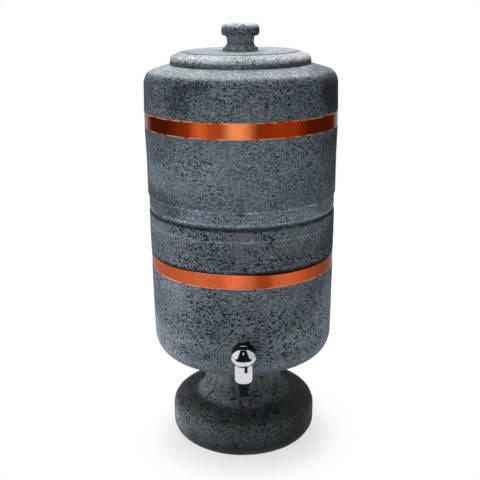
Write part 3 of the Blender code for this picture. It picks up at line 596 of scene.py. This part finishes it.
def shaped(name, bm, material, sharp=CRISP):
    """An object in metres from a bmesh in millimetres."""
    bmesh.ops.scale(bm, vec=(MM, MM, MM), verts=bm.verts)
    mesh = bpy.data.meshes.new(name)
    bm.to_mesh(mesh)
    bm.free()
    mesh.shade_smooth()
    mesh.set_sharp_from_angle(angle=math.radians(sharp))
    mesh.materials.append(material)
    made = bpy.data.objects.new(name, mesh)
    bpy.context.scene.collection.objects.link(made)
    return made


def cut(solid, bm, sharp=CRISP):
    """Cuts a shape in millimetres out of a solid, for good."""
    tool = shaped("cutter", bm, solid.data.materials[0])
    modifier = solid.modifiers.new("cut", "BOOLEAN")
    modifier.operation = "DIFFERENCE"
    modifier.solver = "EXACT"
    modifier.object = tool
    view = bpy.context.evaluated_depsgraph_get()
    mesh = bpy.data.meshes.new_from_object(solid.evaluated_get(view))
    mesh.set_sharp_from_angle(angle=math.radians(sharp))
    solid.modifiers.clear()
    old = solid.data
    solid.data = mesh
    bpy.data.meshes.remove(old)
    bpy.data.objects.remove(tool)


def piece(node, bm, body, material, sharp=CRISP):
    """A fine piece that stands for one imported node."""
    made = shaped("fine_" + node, bm, material, sharp)
    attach(made, body)
    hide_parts(node)
    return made


# Stone pieces

PEDESTAL = [
    (0, 0),
    *arc((69.8, 17.5), (17.5, 17.5), -90, 0, 14),
    *arc((69.8, 34.5), (17.5, 17.5), 0, 90, 14),
    *arc((60.0, 80.0), (14.5, 28.0), 270, 180, 18),
    *arc((56.0, 84.6), (10.5, 15.0), 180, 90, 12),
    (56.0, 100.4),
    (22.0, 100.4),
    (22.0, 112.4, 1.5),
    (0, 112.4),
]
LOWER_VESSEL = [
    (0, 113.0),
    (22.3, 113.0),
    (22.3, 100.7),
    (56.0, 100.7),
    *arc((85.5, 137.7), (21.0, 25.6), -73, 0, 20),
    (107.587, 221.2),
    (106.287, 221.2),
    (106.287, 239.8),
    (107.587, 239.8),
    (108.1, 274.2, 0.3),
    (107.6, 275.2),
    (108.0, 276.0, 0.4),
    (108.0, 288.2, 1.2),
    (85.0, 288.2, 1.2),
    *arc((73.0, 135.2), (12.0, 12.0), 0, -90, 10),
    (0, 123.2),
]
UPPER_VESSEL = [
    (5.5, 280.5),
    (84.1, 280.5, 1.5),
    (84.1, 288.5),
    (106.4, 288.5, 0.5),
    (107.5, 293.5, 1.0),
    (107.5, 306.3, 0.6),
    (108.9, 309.4, 0.6),
    (109.0, 348.5),
    (109.9, 384.4),
    (108.6, 384.4),
    (108.6, 403.0),
    (109.9, 403.0),
    *arc((98.7, 430.7), (10.5, 16.2), 0, 78, 16),
    (80.2, 452.9, 1.5),
    (72.0, 452.9, 2.0),
    *arc((72.0, 419.9), (12.0, 12.0), 90, 0, 8),
    *arc((72.0, 316.5), (12.0, 12.0), 0, -90, 8),
    (5.5, 304.5, 0.6),
]
LID = [
    (0, 447.2),
    (71.1, 447.2, 1.5),
    (71.1, 453.2),
    (79.0, 453.2, 0.8),
    *arc((64.5, 457.8), (14.5, 8.2), 0, 90, 16),
    (63.6, 466.9, 0.4),
    (7.3, 466.9),
    (7.3, 457.6),
    (0, 457.6),
]
LID_KNOB = [
    (0, 457.9),
    (7.0, 457.9),
    (7.0, 467.2),
    (19.8, 467.2, 0.6),
    *arc((19.8, 477.7), (5.0, 7.4), 270, 180, 12),
    (16.0, 482.5, 0.8),
    (20.4, 483.7, 1.2),
    *arc((10.5, 487.1), (10.8, 9.3), 0, 90, 16, 3.2),
    (0, 496.4),
]

upper_stone = soapstone(
    "upper_soapstone",
    shift=(0.0, 0.0, 0.0), light=(0.98, 1.0, 1.03), spotted=0.95, spot_scale=1.25,
    shade_and_light_rings=(
        (289.6, 1.2, 0.42), (293.4, 0.9, 1.7), (299.0, 9.0, 1.6), (307.6, 1.3, 1.7),
        (350.0, 38.0, 1.18), (423.0, 26.0, 1.02), (440.0, 6.0, 0.72),
    ),
    shade_and_light_patches=(
        (-66, 423, 18, 24, 0.6), (-45, 437, 17, 8, 0.5), (104, 422, 24, 30, 0.8),
        (88, 449, 22, 6, 0.45), (-1, 305, 5, 3, 0.7), (99, 374, 14, 8, 0.4),
        (106, 350, 20, 44, 0.3), (-50, 354, 34, 30, -0.2), (-96, 372, 30, 26, 0.25),
        (-94, 306, 42, 20, 0.6), (98, 301, 30, 12, 0.2),
    ),
    gathers=((-72, 424, 34, 26), (-60, 360, 40, 26), (60, 372, 46, 14), (-20, 412, 30, 12)),
    rows=((424, 24, 1.05), (441, 7, 1.4)),
    scratches=(
        (2, 351, 18, -27, 1.5), (0, 361, 9, -24, 1.4), (-30, 330, 12, 12, 1.35),
        (52, 418, 9, 60, 1.6), (-64, 349, 10, -8, 1.35), (95, 421, 8, 80, 1.8),
    ),
    lit_top=(442.5, 446.5, 1.5),
)
lower_stone = soapstone(
    "lower_soapstone",
    shift=(1.7, 0.4, 2.2), light=(0.97, 0.95, 0.97), spotted=1.25, spot_scale=0.95,
    shade_and_light_rings=(
        (130.0, 7.0, 1.3), (153.0, 12.0, 1.13), (240.9, 1.2, 0.35), (255.0, 15.0, 0.80),
        (275.4, 0.9, 1.8), (287.4, 1.5, 0.32),
    ),
    shade_and_light_patches=(
        (-100, 182, 34, 38, 0.3), (101, 165, 28, 50, -0.3), (104, 256, 24, 28, 0.4),
        (-52, 151, 32, 12, -0.16), (54, 151, 32, 12, -0.22),
    ),
    rows=((250, 13, 1.2), (120, 26, 0.1)),
    scratches=((-48, 173, 14, 9, 1.35), (36, 190, 11, -14, 1.3)),
)
foot_stone = soapstone(
    "foot_soapstone",
    shift=(4.3, 2.6, 0.7), light=(0.45, 0.425, 0.40), spotted=0.95, spot_scale=0.7,
    shade_and_light_rings=((0.0, 26.0, 0.40), (48.5, 4.5, 0.48), (54.0, 7.0, 1.3), (92.0, 20.0, 1.5)),
    shade_and_light_patches=((78, 22, 44, 36, 0.75), (-95, 20, 34, 24, -0.9)),
    rows=((40, 6, 1.3), (51, 4, 1.3)),
)
# The lid's copy of the stone, its colour scaled paler: painted light from above
lit_lid_stone = soapstone(
    "lid_soapstone",
    shift=(7.9, 5.2, 3.1), light=(1.72, 1.60, 1.575), spotted=0.50, spot_scale=1.1,
    shade_and_light_rings=(
        (455.0, 2.8, 0.40), (461.5, 4.0, 1.38), (466.4, 0.5, 0.5), (477.5, 5.0, 0.68),
        (487.5, 5.5, 0.36), (496.4, 2.6, 1.15),
    ),
    rows=((456, 4, 1.3), (491, 5, 1.3)),
)

# Each with its unevenness: depth, stretches, least radius, chipped edges and depth of the chips
turned_pieces = {}
for node, outline, body, slot, stone, unevenness in (
    ("pedestal", PEDESTAL, "stand", "foot_soapstone", foot_stone,
     (0.7, [(0.5, 51)], 70, [5], 4.0)),
    ("lower_vessel", LOWER_VESSEL, "stand", "soapstone", lower_stone,
     (0.3, [(115, 219), (242, 288.3)], 80, [287.5], 1.6)),
    ("upper_vessel", UPPER_VESSEL, "upper_chamber", "soapstone", upper_stone,
     (0.3, [(288.4, 382), (405, 447)], 95, [289.5], 1.6)),
    ("lid", LID, "cover", "lid_soapstone", lit_lid_stone,
     (0.3, [(453, 460)], 74, [454], 2.0)),
):
    shape = weathered(spun(outline, STONE_STEPS), *unevenness)
    turned_pieces[node] = piece(node, shape, body, stone)
knob = spun(LID_KNOB, longest=FINE_RUN)
piece("lid_knob", knob, "cover", lit_lid_stone)

HOLE_FOR_TAP = [
    (0, 75.1),
    (12.5, 75.1),
    (12.5, 85.2),
    (6.5, 85.2),
    (6.5, 105.42),
    (14.4, 105.42),
    (14.4, 111.4),
    (0, 111.4),
]


def on_shank(outline, steps=SMALL_STEPS, longest=STONE_RUN):
    """Spun round the middle line of the tap's shank, its heights counted out from the filter's."""
    return shifted(laid_along_y(spun(outline, steps, longest)), z=SHANK_HEIGHT)


cut(turned_pieces["lower_vessel"], on_shank(HOLE_FOR_TAP, longest=WHOLE_RUN))


# Copper strips and rivets

def strip(inside, middle):
    """A bar bent a full turn round Z, its last stretch lifted over its first at the back."""
    total = FULL_TURN + LAP_ANGLE
    length = math.radians(total) * inside
    low, high = middle - STRIP_WIDTH / 2, middle + STRIP_WIDTH / 2
    bm = block((0, 0, low), (length, STRIP_THICKNESS, high))

    def long_edges():
        return [e for e in bm.edges if abs(e.verts[0].co.x - e.verts[1].co.x) > length / 2]

    bmesh.ops.bevel(
        bm, geom=long_edges(), offset=STRIP_ROUNDING, segments=2, profile=0.5, affect="EDGES",
        material=-1,
    )
    bmesh.ops.subdivide_edges(bm, edges=long_edges(), cuts=STRIP_STEPS, use_grid_fill=True)
    for vert in bm.verts:
        share = vert.co.x / length
        over = (share * total - FULL_TURN + LIFTING_ANGLE) / LIFTING_ANGLE
        lift = STRIP_LIFT * min(max(over, 0.0), 1.0)
        angle = math.radians(90.0 - LAP_ANGLE / 2 + share * total)
        reach = inside + vert.co.y + lift
        vert.co = (reach * math.cos(angle), reach * math.sin(angle), vert.co.z)
    bmesh.ops.recalc_face_normals(bm, faces=bm.faces)
    return bm


def rivet(inside, middle, side):
    """A shaft through the lap with a low round head outside."""
    base = inside + STRIP_LIFT + STRIP_THICKNESS
    outline = [
        (0, base - RIVET_GRIP),
        (RIVET_SHAFT, base - RIVET_GRIP),
        (RIVET_SHAFT, base - 0.05),
        (RIVET_HEAD, base - 0.05, 0.15),
        *arc((0, base + 0.25), (2.7, 0.95), 0, 90, 8, 2.4),
    ]
    bm = turned_round(laid_along_y(spun(outline, TINY_STEPS)), 180)
    return shifted(bm, x=side * RIVET_OFFSET, z=middle)


rivet_copper = plain(
    "rivet_copper", (0.80, 0.30, 0.13), (0.62, 0.20, 0.08),
    roughness=0.30, scale=700.0, relief=0.00004, metallic=1.0,
)
for prefix, inside, middle, body, tone, shaded_depth in (
    ("lower", LOWER_STRIP_INSIDE, LOWER_BAND, "stand", (0.94, 0.205, 0.068), 2.8),
    ("upper", UPPER_STRIP_INSIDE, UPPER_BAND, "upper_chamber", (0.94, 0.265, 0.088), 0),
):
    sheet = copper(prefix + "_copper", middle, tone, shaded_depth)
    band = strip(inside, middle)
    piece(prefix + "_copper_band", band, body, sheet, CRISP_METAL)
    for side, name in ((-1, "left"), (1, "right")):
        head = rivet(inside, middle, side)
        piece(f"{prefix}_band_{name}_rivet", head, body, rivet_copper)


# Tap

black = plain(
    "black_plastic", (0.005, 0.007, 0.009), (0.010, 0.013, 0.015),
    roughness=0.36, scale=900.0, relief=0.00003, specular=0.06,
)
rubber = plain(
    "black_rubber", (0.005, 0.006, 0.006), (0.011, 0.011, 0.012),
    roughness=0.74, scale=1400.0, relief=0.00006, specular=0.10,
)
bright = chrome()

ALONG_SHANK = [
    (2.4, 72.1),
    (6.0, 72.1, 0.5),
    (6.0, 109.02),
    (10.5, 109.02, 0.3),
    (10.5, 112.52, 0.6),
    (4.5, 112.52),
    (4.5, 134.4),
    (2.4, 134.4),
]
BARREL = [
    (4.3, 115.0, 0.4),
    (6.6, 115.0, 0.6),
    (6.6, 133.5),
    (7.6, 134.5),
    (7.6, TUBE_TOP),
    (5.5, TUBE_TOP),
    (5.5, 139.0),
    (4.3, 139.0),
]
SLEEVE = [
    (6.9, 130.6, 0.1),
    *arc((6.85, 133.2), (2.6, 2.6), -75, 0, 10),
    (9.45, TUBE_TOP, 0.25),
    (7.9, TUBE_TOP, 0.2),
    (7.9, 134.2),
    (6.9, 133.2),
]
TAP_KNOB = [
    (0, 151.1),
    (9.3, 151.1, 0.2),
    *curve([(9.3, 151.3), (11.61, 153.82), (13.08, 156.4), (13.5, 157.9), (13.5, 160.9),
            (12.55, 162.82), (9.99, 165.9), (6.48, 168.58), (2.97, 170.1), (0, 170.5)]),
]


# The opening in the sleeve's back, through which the shank comes
SHANK_OPENING = ((-4.8, 0, 141.2), (4.8, OUTSIDE_TUBE, ABOVE_TUBE))


def round_tap(bm):
    """A shape moved from the filter's middle line to the tap's."""
    return shifted(bm, y=TAP_AXIS)


def in_notch(inner, outer, top, slack=0.0, rounding=0.0):
    """A block that fills the sleeve's notch between two radii, or all but the slack round it."""
    half_width = NOTCH_HALF_WIDTH - slack
    low, high = (inner, -half_width, NOTCH_BOTTOM + slack), (outer, half_width, top)
    return round_tap(turned_round(block(low, high, rounding), NOTCH_ANGLE))


def ring(inner, outer, low, high, rounding):
    """The outline of a plain ring with rounded edges."""
    corners = ((inner, low), (outer, low), (outer, high), (inner, high))
    return [(*corner, rounding) for corner in corners]


barrel = round_tap(spun(BARREL))
key = in_notch(6.8, 9.25, TUBE_TOP, KEY_SLACK, KEY_ROUNDING)
body_of_tap = joined(on_shank(ALONG_SHANK), barrel, key)
piece("tap_body", body_of_tap, "stand", black)

tube = round_tap(spun(SLEEVE))
tube = piece("tap_chrome_sleeve", tube, "stand", bright, CRISP_METAL)
cut(tube, round_tap(block(*SHANK_OPENING)), CRISP_METAL)
cut(tube, in_notch(7.6, OUTSIDE_TUBE, ABOVE_TUBE), CRISP_METAL)

washer = on_shank(ring(6.3, 13.4, 105.72, 108.72, 0.5))
piece("tap_outer_washer", washer, "stand", rubber)
washer = on_shank(ring(6.3, 11.2, 82.4, 84.9, 0.4))
piece("tap_inner_washer", washer, "stand", rubber)
nut = on_shank(ring(6.3, 11.5, 75.1, 82.1, 0.7), SIDES_OF_NUT, WHOLE_RUN)
piece("tap_back_nut", nut, "stand", black, CRISP_NUT)
piece("tap_knob", round_tap(spun(TAP_KNOB)), "tap_valve", bright, CRISP_DOME)

# Candle

ceramic = plain(
    "filter_ceramic", (0.80, 0.77, 0.70), (0.70, 0.66, 0.57),
    roughness=0.80, scale=1100.0, relief=0.00008,
)
white = plain(
    "white_plastic", (0.80, 0.80, 0.78), (0.72, 0.72, 0.69),
    roughness=0.40, scale=800.0, relief=0.00003,
)
carbon = plain(
    "carbon_block", (0.018, 0.018, 0.018), (0.045, 0.045, 0.045),
    roughness=0.90, scale=1500.0, relief=0.0002,
)

SHELL = [
    (18.2, 310.9),
    (24.7, 310.9),
    *arc((0, 372.2), (24.7, 24.7), 0, 90, 20),
    *arc((0, 372.2), (18.2, 18.2), 90, 0, 12),
]
CUP_AND_STEM = [
    (2.0, 265.4),
    (5.0, 265.4, 0.6),
    (5.0, 307.6),
    (27.0, 307.6, 1.2),
    (27.0, 319.6, 0.7),
    (25.0, 319.6, 0.5),
    (25.0, 310.6),
    (2.0, 310.6),
]
piece("candle_shell", spun(SHELL), "upper_chamber", ceramic)
piece("candle_cup_and_stem", spun(CUP_AND_STEM), "upper_chamber", white)
for node, low, high in (
    ("candle_upper_washer", 304.8, 307.3),
    ("candle_lower_washer", 277.7, 280.2),
):
    washer = spun(ring(5.3, 13.0, low, high, 0.5))
    piece(node, washer, "upper_chamber", rubber)
hub = spun(ring(5.3, 8.5, 269.4, 277.4, 0.6))
left_wing = block((-16.0, -2.1, 269.4), (-6.9, 2.1, 275.4), rounding=0.9)
right_wing = block((6.9, -2.1, 269.4), (16.0, 2.1, 275.4), rounding=0.9)
wings = joined(hub, left_wing, right_wing)
piece("candle_wing_nut", wings, "upper_chamber", white)

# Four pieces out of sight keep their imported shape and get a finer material
for node, material in (
    ("candle_carbon_core", carbon),
    ("tap_valve_spindle", black),
    ("tap_upper_seal", rubber),
    ("tap_lower_seal", rubber),
):
    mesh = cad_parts[node].data
    mesh.materials.clear()
    mesh.materials.append(material)


# Floor, surroundings, lamps and camera

# In millimetres, the floor just clear of the foot
FLOOR_RADIUS = 6000
FLOOR_HEIGHT = -0.05

# The share of its shadow that the eye sees, and between which metres from the axis it grows
SHADOW_SHARE = 0.30
SHADOW_EDGE = (0.15, 0.085)
FLOOR_BOUNCE = (0.30, 0.30, 0.30)
FLOOR_SHADOW = (0.90, 0.90, 0.90)
AMBIENT = 0.07

# Painted reflections that only polished metal sees on the floor and the low sky, by bearing: 0
# towards the camera, positive to the right. The floor is white inside the near ring and changes
# again at the far one, both in metres from the axis.
NEAR_RING = (0.50, 0.56)
FAR_RING = (1.35, 1.60)
SOOT = (0.010, 0.011, 0.013)
DUSK = (0.060, 0.019, 0.011)
EMBER = (0.20, 0.070, 0.028)
EMBER_LIT = (0.30, 0.095, 0.030)
AMBER = (0.385, 0.19, 0.13)
GLOW = (0.66, 0.40, 0.28)
HAZE = (0.30, 0.38, 0.48)
WHITE = (1.0, 1.0, 1.0)
DIM_WHITE = (0.80, 0.80, 0.82)
DIM_SKY = (0.74, 0.74, 0.76)
GLARE = (1.04, 1.16, 1.24)
FAR_BEARINGS = (
    (-180, HAZE), (-146, HAZE), (-130, DUSK), (-94, DUSK), (-70, EMBER), (-61, EMBER_LIT),
    (-51, GLOW), (-44, GLOW), (-36, AMBER), (-21, AMBER), (-9, GLARE), (2, GLARE), (17, EMBER),
    (42, EMBER_LIT), (60, EMBER_LIT), (84, DUSK), (136, DUSK), (152, HAZE), (180, HAZE),
)
NEAR_BEARINGS = (
    (-180, HAZE), (-140, (0.40, 0.38, 0.40)), (-95, (0.50, 0.45, 0.44)), (-50, (0.66, 0.60, 0.62)),
    (-26, (0.60, 0.54, 0.54)), (-15, (1.0, 0.95, 1.0)), (-7, (0.90, 0.85, 0.90)),
    (3, (0.72, 0.66, 0.68)), (11, (0.56, 0.50, 0.50)), (19, (0.34, 0.23, 0.15)),
    (29, (0.34, 0.23, 0.15)), (43, (0.66, 0.58, 0.60)), (72, (0.60, 0.52, 0.52)),
    (86, (0.38, 0.32, 0.30)), (112, (0.22, 0.19, 0.19)), (128, (0.20, 0.18, 0.18)), (150, HAZE),
    (180, HAZE),
)


def by_bearing(nodes, x, y, bearings):
    """The colour at a bearing, blended between those that are given."""
    turn = nodes.math("ARCTAN2", x, 0.0 - y) * (1 / math.tau) + 0.5
    stops = tuple((bearing / FULL_TURN + 0.5, colour) for bearing, colour in bearings)
    return nodes.ramp(turn, stops)


def floor_finish():
    """White to the eye but for the filter's own shadow, with painted reflections by bearing in
    metal.

    To all other light it is a pale matt floor.
    """
    made = Finish("floor")
    x, y, _ = made.parts(made.place())
    across = made.from_axis(x, y)
    near = by_bearing(made, x, y, NEAR_BEARINGS)
    near = made.mix(made.rise(across, *NEAR_RING), WHITE, near)
    around = made.mix(made.rise(across, *FAR_RING), near, by_bearing(made, x, y, FAR_BEARINGS))
    bounce = made.node("ShaderNodeBsdfDiffuse", {}, {"Color": FLOOR_BOUNCE})
    shadow = made.node("ShaderNodeBsdfDiffuse", {}, {"Color": FLOOR_SHADOW})
    seen, in_gloss, through = made.rays("Camera", "Glossy", "Transmission")
    shade = made.rise(across, *SHADOW_EDGE, 0.0, SHADOW_SHARE)
    shown = made.blended(seen, bounce, made.blended(shade, made.glow(WHITE), shadow))
    shown = made.blended(through, shown, made.glow(WHITE))
    # Polished metal sees the painted reflections, by bearing
    made.show(made.blended(in_gloss, shown, made.glow(around)))
    return made.material


bm = bmesh.new()
bmesh.ops.create_circle(bm, cap_ends=True, radius=FLOOR_RADIUS, segments=64)
shaped("floor", shifted(bm, z=FLOOR_HEIGHT), floor_finish())


def reflected_sheet(name, look, radius, low, high, reach, steps, centre=0.0):
    """An upright sheet that only reflections show, bent round Z by reach degrees either way."""
    bm = bmesh.new()
    edge = [bm.verts.new((0, -radius, height)) for height in (low, high)]
    edge.append(bm.edges.new(edge))
    turned_round(bm, -reach)
    bmesh.ops.spin(
        bm, geom=edge, cent=(0, 0, 0), axis=(0, 0, 1), angle=math.radians(2 * reach), steps=steps
    )
    inward = [face for face in bm.faces if face.normal.dot(face.calc_center_median()) < 0]
    bmesh.ops.reverse_faces(bm, faces=inward)
    finish = Finish(name)
    finish.show(look(finish, *finish.parts(finish.place())))
    made = shaped(name, shifted(bm, y=centre), finish.material)
    for kind in ("camera", "diffuse", "shadow", "transmission"):
        setattr(made, "visible_" + kind, False)


# Turns of the reflected wall from the knob's front, in radians, between which this painted
# reflection goes dark
DARK_REFLECTION_TURNS = (1.28, 1.16)

# Heights in metres between which the painted glint behind the knob ends, and how fast it narrows
GLINT_PATCH_ENDS = (0.177, 0.172)
GLINT_PATCH_NARROWING = 300.0
GLINT_PATCH_GLOW = 1.15


def painted_reflection_look(wall, x, y, _):
    """Painted reflection: white, dimmer on the right, and dark in front of the knob."""
    turn = abs(wall.math("ARCTAN2", x, (0.0 - y) + TAP_AXIS * MM))
    pale = wall.mix(wall.rise(x, 0.0, 0.05), WHITE, DIM_WHITE)
    return wall.glow(wall.mix(wall.rise(turn, *DARK_REFLECTION_TURNS), pale, SOOT))


def glint_sheet_look(sheet, x, _, z):
    """Painted reflection: dark, with a white glint low in its middle, and clear from its back."""
    glint_patch = sheet.rise(z + GLINT_PATCH_NARROWING * (x * x), *GLINT_PATCH_ENDS)
    lit = sheet.glow(sheet.mix(glint_patch, SOOT, WHITE), GLINT_PATCH_GLOW)
    back_side = sheet.node("ShaderNodeNewGeometry", {}, {}, "Backfacing")
    return sheet.blended(back_side, lit, sheet.node("ShaderNodeBsdfTransparent", {}, {}))


reflected_sheet(
    "painted_reflection_round_tap", painted_reflection_look, radius=100.0, low=108.0, high=168.0, reach=100, steps=40,
    centre=TAP_AXIS,
)
reflected_sheet(
    "glint_sheet_behind_knob", glint_sheet_look, radius=110.0, low=160.0, high=275.0, reach=45, steps=20
)

# A painted reflection that only glossy rays see in the sky: the dark field that the knob's dome
# reflects, with a small glint in it, and the height of the low ring round the horizon, all by the
# direction that is seen
FIELD_HALF_WIDTH = 1.08
FIELD_TAPER = 0.37
FIELD_EDGE = 0.05
FIELD_BACK = (0.85, 0.65)
GLINT_FORWARD = 0.30
GLINT_EDGE = (0.008, 0.016)
HORIZON = (0.08, 0.05)

world = bpy.data.worlds.new("studio")
bpy.context.scene.world = world
world.use_nodes = True
sky = Nodes(world.node_tree)
side, back, up = sky.parts(sky.node("ShaderNodeTexCoord", {}, {}, "Generated"))
beside, ahead = abs(side), back + GLINT_FORWARD
over = sky.math("ARCTAN2", up, 0.0 - back)
dark = sky.rise(beside + over * FIELD_TAPER - FIELD_HALF_WIDTH, FIELD_EDGE, -FIELD_EDGE)
dark = dark * sky.rise(back, *FIELD_BACK)
off_glint = beside * beside * 2.0 + ahead * ahead * 0.5
dark = dark * sky.rise(off_glint, *GLINT_EDGE)
pale = sky.mix(sky.rise(side, 0.1, 0.6), WHITE, DIM_SKY)
reflected = sky.mix(dark, pale, SOOT)
low_ring = by_bearing(sky, side, back, FAR_BEARINGS)
reflected = sky.mix(sky.rise(up, *HORIZON), reflected, low_ring)
ambient = sky.node("ShaderNodeBackground", {}, {"Color": WHITE, "Strength": AMBIENT})
clear = sky.node("ShaderNodeBackground", {}, {"Color": WHITE, "Strength": 1.0})
mirrored = sky.node("ShaderNodeBackground", {}, {"Color": reflected, "Strength": 1.0})
seen, in_gloss = sky.rays("Camera", "Glossy")
shown = sky.blended(in_gloss, sky.blended(seen, ambient, clear), mirrored)
sky.plug(sky.tree.nodes["World Output"].inputs["Surface"], shown)


def lamp(name, place, target, size, power, spread=180, colour=WHITE):
    """A round lamp that shines at a target and isn't seen itself."""
    light = bpy.data.lights.new(name, "AREA")
    light.shape = "DISK"
    light.color = colour
    light.spread = math.radians(spread)
    light.size = size
    light.energy = power
    made = bpy.data.objects.new(name, light)
    bpy.context.scene.collection.objects.link(made)
    made.location = place
    away = Vector(place) - Vector(target)
    made.rotation_euler = away.to_track_quat("Z", "Y").to_euler()
    made.visible_glossy = False
    made.visible_camera = False


BACK_LIGHT = (1.0, 0.93, 0.875)
TOP_LIGHT = (1.0, 0.95, 0.91)
lamp("back_top_lamp", (0, 0.55, 1.5), (0, 0, 0.4), size=0.8, power=22.5, colour=BACK_LIGHT)
lamp("top_lamp", (-0.1, -0.25, 1.55), (0, 0, 0.45), size=0.8, power=8, colour=TOP_LIGHT)
lamp("front_lamp", (-0.3, -1.8, 0.35), (0, 0, 0.25), size=0.9, power=7)
lamp("front_left_lamp", (-1.3, -1.3, 0.35), (0, 0, 0.25), size=0.9, power=4)
lamp("left_lamp", (-0.75, 0.1, 0.1), (0, 0, 0.06), size=0.3, power=0.55, spread=50)
lamp("right_lamp", (0.8, -0.25, 0.25), (0.05, 0, 0.15), size=0.2, power=0.05, spread=30)

# The camera that was fitted to the turned pieces' outlines
CAMERA_PLACE = (-0.00252, -0.943756, 0.533233)
LENS = 61.99
SENSOR_WIDTH = 36
LOOKING_DOWN = 16.9424
ROLL = -0.5327

eye = bpy.data.cameras.new("camera")
eye.sensor_width = SENSOR_WIDTH
eye.lens = LENS
camera = bpy.data.objects.new("camera", eye)
bpy.context.scene.collection.objects.link(camera)
camera.matrix_world = (
    Matrix.Translation(CAMERA_PLACE)
    @ Matrix.Rotation(math.radians(90 - LOOKING_DOWN), 4, "X")
    @ Matrix.Rotation(math.radians(ROLL), 4, "Z")
)
bpy.context.scene.camera = camera
bpy.context.scene.view_settings.view_transform = "Standard"
